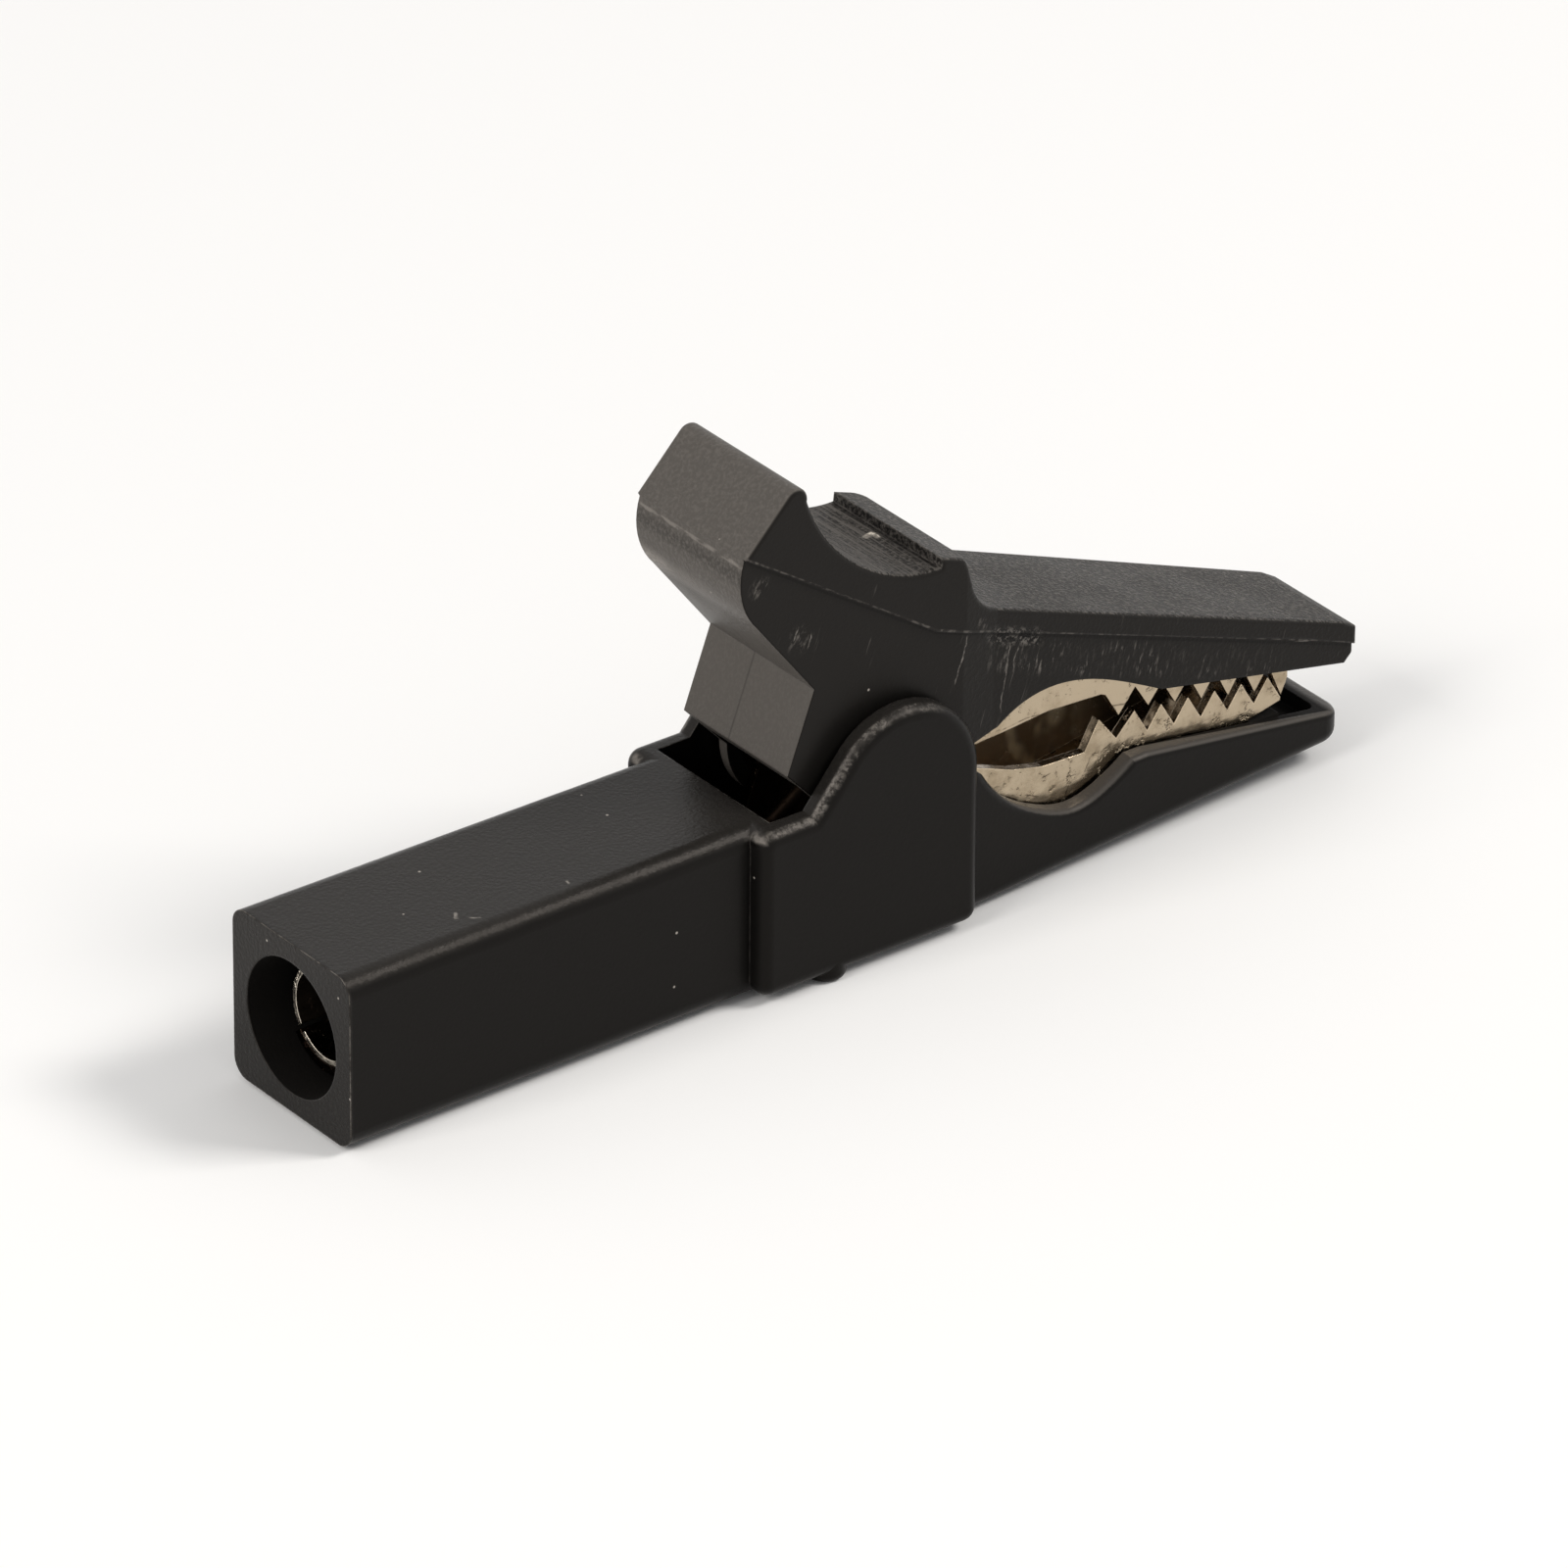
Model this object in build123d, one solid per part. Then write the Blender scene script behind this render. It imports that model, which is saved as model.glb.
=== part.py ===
from build123d import *
import os
from math import cos, hypot, radians, sin

# Insulated crocodile clip with a 4 mm plug socket, in millimetres.
# The origin is on the axis of the plug, at the end face of the handle.
# +X runs to the tips of the jaws, +Z is up, and Y = 0 is the plane of symmetry.

# Handle: a square bar that is part of the lower moulding
HANDLE_WIDTH = 8.4
HANDLE_HEIGHT = 8.26
HANDLE_EDGE_R = 0.88
HANDLE_DRAFT = 0.006
SHROUD_GAP = 0.93
HANDLE_END_WALL = 1.8

# Pivot, and the cheeks that guard it
PIVOT_X = 29.0
PIVOT_Z = 3.77
EAR_R = 4.05
CHEEK_THICK = 1.02
CHEEK_EDGE_R = 0.6
CHEEK_CORNER_R = 0.7
CHEEK_LIFT = 0.2
CHEEK_TO_PIVOT = 7.8
SLOT_TO_PIVOT = 6.7
RAIL_END = 4.95
RAMP_ANGLE = 135.0
NUB_R = 0.95
NUB_DROP = 0.42
NUB_TO_PIVOT = 3.7

# Jaws, measured forward from the pivot
JAW_REACH = 26.7
LOWER_SET_BACK = 0.55
LOWER_ROOT_HALF = 4.05
LOWER_TIP_HALF = 2.9
LOWER_TIP_LIFT = 0.78
LOWER_TIP_FLOOR = 1.0
LOWER_NOSE_R = 1.1
LOWER_NOSE_WALL = 1.1
HEEL_START = 1.5
LOWER_EDGE_R = 0.7
RIM_EDGE_R = 0.35
CHANNEL_GAP_ROOT = 0.3
CHANNEL_GAP_TIP = 0.15
REST_BLOCK = 1.6
REST_SHORT = 0.4

# Lever: thumb pad, hump and upper jaw in one hollow moulding
LEVER_WIDTH = 7.7
LEVER_SIDE_GAP = 0.13
LEVER_EAR_GAP = 0.45
LEVER_SIDE_WALL = 0.75
LEVER_WALL = 0.95
LEVER_EDGE_R = 0.22
UPPER_ROOT_HALF = 3.65
UPPER_TIP_HALF = 2.93
PARTING_STEP = 0.2
HUMP_RISE = 0.45
HUMP_GROOVE_R = 0.12
HUMP_GROOVE = 3.05

# Stampings: the two metal jaws
SHEET = 0.45
STAMPING_GAP = 0.05
METAL_EAR_R = 2.9
TAIL_HEIGHT = 1.65
TOOTH_PITCH = 1.55
TOOTH_DEPTH = 1.15
FIRST_TOOTH = 12.4
SECOND_TOOTH = 14.45
TOOTH_LINE_DROP = 1.62
TOOTH_LINE_SLOPE = -0.135
BITE_OFFSET = 0.8
BITE_START = 0.27
BITE_FALL = 0.17
END_TOOTH_EXTRA = 0.3
FIRST_TIP_SHIFT = 0.24
END_LAND = 0.35
END_LIP = 0.8
TAIL_HIGH = (-5.3, 9.8)
TAIL_LOW = (-2.6, 5.6)
METAL_SET_BACK = 3.6
LAST_VALLEY_WEB = 0.12

# Plug socket: a rolled sleeve for a 4 mm plug
SOCKET_R = 2.02
SOCKET_WALL = 0.25
SOCKET_RECESS = 1.7
SOCKET_LENGTH = 14.0
SOCKET_SLIT = 0.35
SOCKET_SEAM_ANGLE = -40.0
CRADLE_GAP = 0.02
CRADLE_SPAN = 100.0
CRADLE_LAP = 1.5
FLOOR_GAP = 0.03

# Pivot rivet
RIVET_R = 0.9
RIVET_HEAD_R = 1.45
RIVET_HEAD = 0.5
RIVET_FIT = 0.01
HINGE_FIT = 0.05
HEAD_CLEARANCE = 0.3

# Torsion spring round the rivet
WIRE = 0.6
COIL_R = 1.5
COIL_PITCH = 0.66
COIL_TURNS = 4
LOWER_LEG_ANGLE = 214.0
LOWER_LEG = 8.0
UPPER_LEG_ANGLE = 117.0
UPPER_LEG = 9.2

# Side profiles, as (forward, up) from the pivot
FOOT = (-5.52, 2.06)
NECK = (-4.11, 5.85)
BULGE_LOW = (-7.2, 9.83)
BULGE_MID = (-8.05, 11.53)
BULGE_HIGH = (-7.93, 13.3)
PAD_STEP = (-7.98, 13.41)
PAD_BACK = (-5.72, 15.75)
SCOOP = [(-4.65, 15.18), (-3.5, 12.93), (-1.45, 10.93), (0.4, 9.98), (2.55, 9.63)]
HUMP_FRONT = 4.0
HUMP_FALL = 0.5
HUMP_TOE = (4.35, 8.33)
TOE_SWEEP = (4.75, 7.38)
JAW_ROOT = (5.84, 6.47)
JAW_TIP_DROP = 1.13
JAW_TIP_BACK = 0.75
JAW_EDGE_DROP = 3.32
LEVER_THROAT = [(15.5, -0.92), (13.6, 0.08), (9.4, 1.43), (6.1, 0.51)]
PARTING_FRONT = (2.3, 6.62)
PARTING_MID = (-2.3, 9.8)
PARTING_TIP_DROP = 1.25
PARTING_TIP_BACK = 2.8
RIM_REAR = (4.2, -0.6)
RIM_DIP = [(5.1, -1.42), (6.7, -3.27), (8.6, -4.42), (10.4, -4.91), (12.2, -4.47), (13.7, -3.65)]
RIM_CREST = (14.6, -3.67)
RIM_NOSE_DROP = 5.6

# Edges of the stampings under and over the throat: (forward of the first tooth, up from the pivot)
LOWER_METAL_THROAT = [(-6.2, -1.87), (-4.9, -2.39), (-3.2, -2.82), (-0.8, -2.97)]
UPPER_METAL_THROAT = [(-5.4, -0.32), (-2.9, -0.17), (0.1, -0.41)]

# Sizes and places that follow from the ones above
HALF_H = HANDLE_HEIGHT / 2
LEVER_HALF = LEVER_WIDTH / 2
CHEEK_IN = LEVER_HALF + LEVER_SIDE_GAP
CHEEK_END = PIVOT_X + EAR_R
SLOT_REAR = PIVOT_X - SLOT_TO_PIVOT
BORE_DEPTH = SLOT_REAR - HANDLE_END_WALL
LEVER_TIP = PIVOT_X + JAW_REACH
HOUSING_LENGTH = LEVER_TIP - LOWER_SET_BACK
LEVER_EAR_R = EAR_R - LEVER_EAR_GAP
SLEEVE_R = SOCKET_R + SOCKET_WALL
MOUTH_R = SLEEVE_R + SHROUD_GAP
CRADLE_R = SLEEVE_R + CRADLE_GAP
WEB_Z = -(CRADLE_R + SHEET)
FLOOR_Z = WEB_Z - FLOOR_GAP
UPPER_EAR_HALF = LEVER_HALF - LEVER_SIDE_WALL - STAMPING_GAP
LOWER_EAR_HALF = UPPER_EAR_HALF - SHEET - STAMPING_GAP
METAL_ROOT_HALF = UPPER_ROOT_HALF - LEVER_SIDE_WALL - STAMPING_GAP
METAL_TIP_HALF = UPPER_TIP_HALF - LEVER_SIDE_WALL - STAMPING_GAP
METAL_END = LEVER_TIP - METAL_SET_BACK
BENCH = 60.0


def from_pivot(dx, dz):
    """A point of the plane of symmetry, given by its offsets from the pivot."""
    return (PIVOT_X + dx, 0, PIVOT_Z + dz)


def before_teeth(profile):
    """Points of the plane of symmetry, from a profile measured from the first tooth."""
    return [from_pivot(FIRST_TOOTH + dx, dz) for dx, dz in profile]


def side_face(points):
    """A face in the plane of symmetry from its (x, 0, z) corners."""
    return make_face(Polyline(points, close=True))


def widen(face, half):
    """Extrude a face of the plane of symmetry by the same amount to both sides."""
    near = face.moved(Location((0, -half, 0)))
    return extrude(near, amount=2 * half, dir=(0, 1, 0))


def plan_solid(stations, low=-BENCH, high=BENCH):
    """A solid that is symmetric in plan, from stations of (x, half width)."""
    near = [(x, -half, low) for x, half in stations]
    far = [(x, half, low) for x, half in reversed(stations)]
    return extrude(make_face(Polyline(near + far, close=True)), amount=high - low, dir=(0, 0, 1))


def bar_y(radius, y_from, y_to):
    """A round bar on the pivot's axis."""
    disc = Plane(origin=(PIVOT_X, y_from, PIVOT_Z), z_dir=(0, 1, 0)) * Circle(radius)
    return extrude(disc, amount=y_to - y_from, dir=(0, 1, 0))


def bar_x(radius, x_from, x_to):
    """A round bar on the plug's axis."""
    disc = Plane(origin=(x_from, 0, 0), z_dir=(1, 0, 0)) * Circle(radius)
    return extrude(disc, amount=x_to - x_from, dir=(1, 0, 0))


def block(x_range, half_width, z_range):
    """A box that is symmetric in Y."""
    size_x = x_range[1] - x_range[0]
    size_z = z_range[1] - z_range[0]
    centre = Pos(sum(x_range) / 2, 0, sum(z_range) / 2)
    return centre * Box(size_x, 2 * half_width, size_z)


def chain(points):
    """Straight lines from point to point."""
    return [Line(a, b) for a, b in zip(points, points[1:])]


# Lower moulding: handle, cheeks and lower jaw


def handle():
    """Square bar with rounded long edges and a slight draft towards the jaws."""
    root_width = HANDLE_WIDTH - 2 * HANDLE_DRAFT * CHEEK_END
    end_plane = Plane(origin=(0, 0, 0), x_dir=(0, 1, 0), z_dir=(1, 0, 0))
    root_plane = Plane(origin=(CHEEK_END, 0, 0), x_dir=(0, 1, 0), z_dir=(1, 0, 0))
    end = end_plane * RectangleRounded(HANDLE_WIDTH, HANDLE_HEIGHT, HANDLE_EDGE_R)
    root = root_plane * RectangleRounded(root_width, HANDLE_HEIGHT, HANDLE_EDGE_R)
    return loft([end, root])


def cheek_outline():
    """The cheeks from the side: a level rail, a ramp and the round ear over the pivot."""
    start = PIVOT_X - CHEEK_TO_PIVOT
    rail_end = PIVOT_X - RAIL_END
    low = CHEEK_LIFT - HALF_H
    angle = radians(RAMP_ANGLE)
    ramp_top = from_pivot(EAR_R * cos(angle), EAR_R * sin(angle))
    ear_front = from_pivot(EAR_R, 0)
    bottom_front = (CHEEK_END, 0, low)
    rear = chain([bottom_front, (start, 0, low), (start, 0, HALF_H), (rail_end, 0, HALF_H), ramp_top])
    ear = ThreePointArc(ramp_top, from_pivot(0, EAR_R), ear_front)
    return make_face(rear + [ear, Line(ear_front, bottom_front)])


def guard():
    """Both cheeks as one block, rounded at its corners and outer edges, before the slot is cut."""
    whole = widen(cheek_outline(), CHEEK_IN + CHEEK_THICK)
    corners = whole.edges().filter_by(Axis.Y)
    rear = corners.sort_by(Axis.X)[:2]
    front = corners.sort_by(Axis.Z)[:2].sort_by(Axis.X)[-1:]
    whole = fillet(rear + front, CHEEK_CORNER_R)
    sides = whole.faces().sort_by(Axis.Y)
    return fillet(sides[0].edges() + sides[-1].edges(), CHEEK_EDGE_R)


def nub():
    """Low round foot under the cheek, with a rounded edge."""
    low = CHEEK_LIFT - HALF_H - NUB_DROP
    side = CHEEK_IN + CHEEK_THICK - NUB_R
    disc = Plane(origin=(PIVOT_X - NUB_TO_PIVOT, side, low)) * Circle(NUB_R)
    foot = extrude(disc, amount=NUB_DROP + CHEEK_EDGE_R, dir=(0, 0, 1))
    return fillet(foot.faces().sort_by(Axis.Z)[0].edges(), NUB_DROP * 0.9)


def lower_side():
    """Side outline of the lower jaw: the rim dips below the throat and falls to the nose."""
    rear = CHEEK_END - 2 * CHEEK_THICK
    rim = [from_pivot(*point) for point in RIM_DIP]
    nose_top = (HOUSING_LENGTH, 0, PIVOT_Z - RIM_NOSE_DROP)
    nose_low = (HOUSING_LENGTH, 0, -HALF_H + LOWER_TIP_LIFT)
    heel = (CHEEK_END + HEEL_START, 0, -HALF_H)
    wall_top = from_pivot(*RIM_REAR)
    top = chain([(rear, 0, -HALF_H), (rear, 0, wall_top[2]), wall_top, rim[0]])
    nose = chain([rim[-1], from_pivot(*RIM_CREST), nose_top, nose_low, heel, (rear, 0, -HALF_H)])
    return make_face(top + [Spline(rim)] + nose)


def lower_form():
    """Outer form of the lower jaw, with a rounded nose and rounded bottom edges."""
    rear = CHEEK_END - CHEEK_THICK
    plan = plan_solid([(rear, LOWER_ROOT_HALF), (HOUSING_LENGTH, LOWER_TIP_HALF)])
    nose_edges = plan.edges().filter_by(Axis.Z).sort_by(Axis.X)[-2:]
    form = fillet(nose_edges, LOWER_NOSE_R) & widen(lower_side(), LOWER_ROOT_HALF + 1)
    form = fillet(outline_ahead(form, 1, PIVOT_X + RIM_DIP[0][0]), RIM_EDGE_R)
    return fillet(outline_ahead(form, -1, CHEEK_END + HEEL_START), LOWER_EDGE_R)


def outline_ahead(form, side, start):
    """Edges round the top (side 1) or the bottom (side -1) of the lower jaw, ahead of a start."""
    faces = [f for f in form.faces() if side * f.normal_at().Z > 0.3 and f.center().X > start]
    edges = [edge for face in faces for edge in face.edges()]
    outline = [e for e in edges if sum(e.is_same(other) for other in edges) == 1]
    return [e for e in outline if e.center().X > start + RIM_EDGE_R or abs(e.center().Y) > LOWER_TIP_HALF / 2]


def lower_cavity():
    """Hollow of the lower jaw, with the clearance that the stamping has in it."""
    front = HOUSING_LENGTH - LOWER_NOSE_WALL
    root_half = METAL_ROOT_HALF + CHANNEL_GAP_ROOT
    tip_half = METAL_TIP_HALF + CHANNEL_GAP_TIP
    plan = plan_solid([(CHEEK_END - EAR_R / 2, root_half), (front, tip_half)])
    front_edges = plan.edges().filter_by(Axis.Z).sort_by(Axis.X)[-2:]
    plan = fillet(front_edges, LOWER_NOSE_R / 2)
    floor_tip = -HALF_H + LOWER_TIP_LIFT + LOWER_TIP_FLOOR
    floor_bend = PIVOT_X + FIRST_TOOTH
    space = side_face(
        [
            (CHEEK_END - EAR_R, 0, FLOOR_Z),
            (floor_bend, 0, FLOOR_Z),
            (HOUSING_LENGTH, 0, floor_tip),
            (HOUSING_LENGTH, 0, BENCH),
            (CHEEK_END - EAR_R, 0, BENCH),
        ]
    )
    return plan & widen(space, LOWER_ROOT_HALF)


def rest_rib():
    """Cross rib in the lower jaw on which the end of the stamping lies."""
    end = METAL_END - REST_SHORT
    start = end - REST_BLOCK
    low = -HALF_H + LOWER_TIP_LIFT
    return block((start, end), LOWER_TIP_HALF - REST_SHORT, (low, channel_floor(start) - FLOOR_GAP))


def housing():
    """Lower moulding: handle, cheeks and lower jaw in one hollow piece."""
    foot = nub()
    body = handle() + guard() + foot + foot.mirror(Plane.XZ) + lower_form()
    pocket = block((SLOT_REAR, CHEEK_END), CHEEK_IN, (FLOOR_Z, BENCH))
    tunnel_half = LOWER_EAR_HALF + CHANNEL_GAP_ROOT
    tunnel = block((BORE_DEPTH - 0.5, SLOT_REAR + 0.5), tunnel_half, (FLOOR_Z, MOUTH_R - 0.4))
    bore = bar_x(MOUTH_R, -1, BORE_DEPTH)
    body = body - pocket - tunnel - lower_cavity() - bore
    return body + rest_rib()


# Lever moulding


def lever_back():
    """Back of the lever: foot, neck, and the bulge that ends at the step of the pad."""
    foot, neck, low, middle = [from_pivot(*p) for p in (FOOT, NECK, BULGE_LOW, BULGE_MID)]
    high, step, back, front = [from_pivot(*p) for p in (BULGE_HIGH, PAD_STEP, PAD_BACK, SCOOP[0])]
    bulge = ThreePointArc(low, middle, high)
    rise = (back[0] - step[0], 0, back[2] - step[2])
    crown = TangentArc(back, front, tangent=rise)
    return chain([foot, neck, low]) + [bulge] + chain([high, step, back]) + [crown]


def jaw_top():
    """Ends of the flat top of the upper jaw."""
    return from_pivot(*JAW_ROOT), from_pivot(JAW_REACH - JAW_TIP_BACK, -JAW_TIP_DROP)


def jaw_nose(tip):
    """Points round the nose of the upper jaw, from the end of its top to its lower edge."""
    lip = [from_pivot(JAW_REACH, -JAW_TIP_DROP - 0.6 * JAW_TIP_BACK)]
    lip += [from_pivot(JAW_REACH, JAW_TIP_BACK - JAW_EDGE_DROP)]
    lip += [from_pivot(JAW_REACH - JAW_TIP_BACK / 6, JAW_TIP_BACK / 2 - JAW_EDGE_DROP)]
    return [tip] + lip + [from_pivot(JAW_REACH - 0.7 * JAW_TIP_BACK, -JAW_EDGE_DROP)]


def lever_outline():
    """Side outline of the lever."""
    scoop = [from_pivot(*point) for point in SCOOP]
    hump_top = SCOOP[-1][1] + HUMP_RISE
    hump = [scoop[-1], from_pivot(SCOOP[-1][0] + HUMP_RISE / 9, hump_top)]
    hump += [from_pivot(HUMP_FRONT, hump_top - HUMP_FALL), from_pivot(*HUMP_TOE)]
    root, tip = jaw_top()
    nose = jaw_nose(tip)
    throat = [from_pivot(*point) for point in LEVER_THROAT]
    ear_front = from_pivot(LEVER_EAR_R, 0)
    ear_low = from_pivot(0, -LEVER_EAR_R)
    ear_rear = from_pivot(-LEVER_EAR_R, 0)
    sweep_in = ThreePointArc(hump[-1], from_pivot(*TOE_SWEEP), root)
    under = [Line(throat[-1], ear_front), ThreePointArc(ear_front, ear_low, ear_rear)]
    skin = lever_back() + [Spline(scoop)] + chain(hump) + [sweep_in] + chain([root] + nose)
    edge = [Line(nose[-1], throat[0]), Spline(throat)] + under
    return make_face(skin + edge + [Line(ear_rear, from_pivot(*FOOT))])


def lever_plan(inset, front):
    """Plan of the lever, drawn in by an inset, as far as the front."""
    return plan_solid(
        [
            (PIVOT_X - 2 * CHEEK_TO_PIVOT, LEVER_HALF - inset),
            (PIVOT_X + HUMP_FRONT, LEVER_HALF - inset),
            (PIVOT_X + JAW_ROOT[0], UPPER_ROOT_HALF - inset),
            (front, UPPER_TIP_HALF - inset),
        ]
    )


def roof(depth):
    """The underside of the lever at a depth below its skin, from the jaw's tip to the pad."""
    root, tip = jaw_top()
    run = tip[0] - root[0]
    fall = (root[2] - tip[2]) / run
    down = depth * hypot(1, fall)
    bend = root[0] - JAW_TIP_BACK
    high, mid, low = SCOOP[1:4]
    return [
        (LEVER_TIP, 0, root[2] - fall * (LEVER_TIP - root[0]) - down),
        (bend, 0, root[2] + fall * (root[0] - bend) - down),
        from_pivot(low[0], low[1] - 1.15 * depth),
        from_pivot(mid[0] - 0.5 * depth, mid[1] - depth),
        from_pivot(high[0] - 0.75 * depth, high[1] - 0.75 * depth),
    ]


def lever_hollow():
    """Hollow of the lever, open underneath from the foot to the tip of the jaw."""
    wall = LEVER_WALL
    points = roof(wall)
    points += [from_pivot(SCOOP[0][0] - wall, SCOOP[0][1] - wall)]
    points += [from_pivot(PAD_STEP[0] + 1.1 * wall, PAD_STEP[1] - 0.6 * wall)]
    points += [from_pivot(BULGE_LOW[0] + 1.1 * wall, BULGE_LOW[1] + 0.5 * wall)]
    points += [from_pivot(NECK[0] + 1.1 * wall, NECK[1]), from_pivot(FOOT[0] + wall, FOOT[1])]
    points += [from_pivot(FOOT[0] + wall, -BENCH), (LEVER_TIP, 0, -BENCH)]
    return widen(side_face(points), LEVER_HALF) & lever_plan(LEVER_SIDE_WALL, LEVER_TIP - LEVER_WALL)


def below_parting():
    """The space below the line where the two halves of the lever's mould met."""
    rear = from_pivot(2 * PAD_STEP[0] - PARTING_MID[0], 2 * PAD_STEP[1] - PARTING_MID[1])
    tip = from_pivot(JAW_REACH - PARTING_TIP_BACK, -PARTING_TIP_DROP)
    front = from_pivot(JAW_REACH + 2 * JAW_TIP_BACK, 2 * JAW_TIP_BACK - JAW_EDGE_DROP - PARTING_TIP_DROP)
    line = [rear, from_pivot(*PAD_STEP), from_pivot(*PARTING_MID), from_pivot(*PARTING_FRONT), tip, front]
    return widen(side_face(line + [(front[0], 0, -BENCH), (rear[0], 0, -BENCH)]), BENCH / 4)


def lever():
    """Upper moulding: a hollow shell, a little wider above its parting line than below."""
    full = widen(lever_outline(), LEVER_HALF + 1)
    front = LEVER_TIP + 1
    lower_half = full & lever_plan(PARTING_STEP, LEVER_TIP - PARTING_STEP / 2) & below_parting()
    upper_half = (full & lever_plan(0, front)) - below_parting()
    eye = bar_y(RIVET_HEAD_R + HEAD_CLEARANCE, -LEVER_WIDTH, LEVER_WIDTH)
    upper_half = fillet(rim_edges(upper_half), LEVER_EDGE_R) - hump_groove()
    return upper_half + lower_half - lever_hollow() - eye


def hump_groove():
    """Fine groove across the hump, which leaves a ridge along its edge over the scoop."""
    x, _, z = from_pivot(HUMP_GROOVE, SCOOP[-1][1] + HUMP_RISE)
    disc = Plane(origin=(x, -LEVER_WIDTH, z), z_dir=(0, 1, 0)) * Circle(HUMP_GROOVE_R)
    return extrude(disc, amount=2 * LEVER_WIDTH, dir=(0, 1, 0))


def rim_edges(solid):
    """The edges where the sides of the lever's upper half meet its top, front and back."""
    sides = [face for face in solid.faces() if abs(face.normal_at().Y) > 0.9]
    skin = [f for f in solid.faces() if abs(f.normal_at().Y) < 0.5 and f.normal_at().Z > -0.5]
    skin_edges = [edge for face in skin for edge in face.edges()]
    return [e for face in sides for e in face.edges() if any(e.is_same(s) for s in skin_edges)]


# Metal jaws


def metal_plan(ear_half, inset):
    """Plan of a stamping: parallel at the ears, then set out and drawn in to the tip."""
    ear_end = PIVOT_X + METAL_EAR_R
    return plan_solid(
        [
            (0, ear_half - inset),
            (ear_end, ear_half - inset),
            (ear_end + METAL_EAR_R, METAL_ROOT_HALF - inset),
            (LEVER_TIP, METAL_TIP_HALF - inset),
        ]
    )


def tooth_line(x):
    """Height of the tips of the lower teeth."""
    return PIVOT_Z - TOOTH_LINE_DROP + TOOTH_LINE_SLOPE * (x - PIVOT_X - FIRST_TOOTH)


def tooth_places():
    """X of each lower tooth: the first stands alone, the rest follow at the pitch."""
    first = PIVOT_X + FIRST_TOOTH
    second = PIVOT_X + SECOND_TOOTH
    count = int((METAL_END - second) / TOOTH_PITCH) + 1
    return [first] + [second + i * TOOTH_PITCH for i in range(count)]


def channel_floor(x):
    """Underside of the lower stamping: flat, then rising towards the tip."""
    bend = PIVOT_X + FIRST_TOOTH
    if x < bend:
        return WEB_Z
    tip = tooth_line(METAL_END) - TOOTH_DEPTH - LAST_VALLEY_WEB
    return WEB_Z + (tip - WEB_Z) * (x - bend) / (METAL_END - bend)


def lower_teeth():
    """Outline of the lower teeth, tip and valley by turns."""
    places = tooth_places()
    outline = []
    for tip, following in zip(places, places[1:] + [places[-1] + TOOTH_PITCH]):
        valley = (tip + following) / 2
        outline.append((tip, 0, tooth_line(tip)))
        outline.append((valley, 0, tooth_line(valley) - TOOTH_DEPTH))
    return outline


def cradle():
    """Tail of the lower stamping, curved round the underside of the socket."""
    start = SOCKET_RECESS
    end = BORE_DEPTH + CRADLE_LAP
    ring = bar_x(CRADLE_R + SHEET, start, end) - bar_x(CRADLE_R, start - 1, end + 1)
    half_span = radians(CRADLE_SPAN / 2)
    side = 3 * CRADLE_R * sin(half_span)
    low = -3 * CRADLE_R * cos(half_span)
    wedge = make_face(Polyline([(start, 0, 0), (start, side, low), (start, -side, low)], close=True))
    return ring & extrude(wedge, amount=end - start, dir=(1, 0, 0))


def lower_jaw():
    """Lower stamping: a toothed channel with two ears, and a tail that holds the socket."""
    rear = BORE_DEPTH + 0.5
    teeth = lower_teeth()
    end_x = teeth[-1][0]
    ear = METAL_EAR_R
    wall_top = [(rear, 0, WEB_Z + TAIL_HEIGHT), (PIVOT_X - 1.4 * ear, 0, WEB_Z + TAIL_HEIGHT)]
    wall_top += [from_pivot(-0.9 * ear, -0.35 * ear), from_pivot(0.9 * ear, -0.2 * ear)]
    throat = before_teeth(LOWER_METAL_THROAT)
    bend = PIVOT_X + FIRST_TOOTH
    bottom = [(end_x, 0, channel_floor(end_x)), (bend, 0, WEB_Z), (rear, 0, WEB_Z)]
    walls = widen(side_face(wall_top + throat + teeth + bottom), BENCH / 4)
    body = (walls + bar_y(ear, -BENCH / 4, BENCH / 4)) & metal_plan(LOWER_EAR_HALF, 0)
    inside = side_face(
        [
            (0, 0, WEB_Z + SHEET),
            (bend, 0, WEB_Z + SHEET),
            (LEVER_TIP, 0, channel_floor(LEVER_TIP) + SHEET),
            (LEVER_TIP, 0, BENCH),
            (0, 0, BENCH),
        ]
    )
    hollow = widen(inside, BENCH / 4) & metal_plan(LOWER_EAR_HALF, SHEET)
    hole = bar_y(RIVET_R + RIVET_FIT, -LEVER_HALF, LEVER_HALF)
    return body - hollow - hole + cradle()


def upper_teeth():
    """Outline of the upper teeth, set between the lower ones; the end teeth are longer."""
    places = tooth_places()
    outline = []
    for index, lower in enumerate(places):
        tip = lower + BITE_OFFSET
        if index == 0:
            tip = (places[0] + places[1] + FIRST_TIP_SHIFT) / 2
        bite = BITE_START - BITE_FALL * index
        if index in (0, len(places) - 1):
            bite -= END_TOOTH_EXTRA
        root = tip - TOOTH_PITCH / 2
        outline.append((root, 0, tooth_line(root) + TOOTH_DEPTH + bite / 2))
        outline.append((tip, 0, tooth_line(tip) + bite))
    return outline


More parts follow.
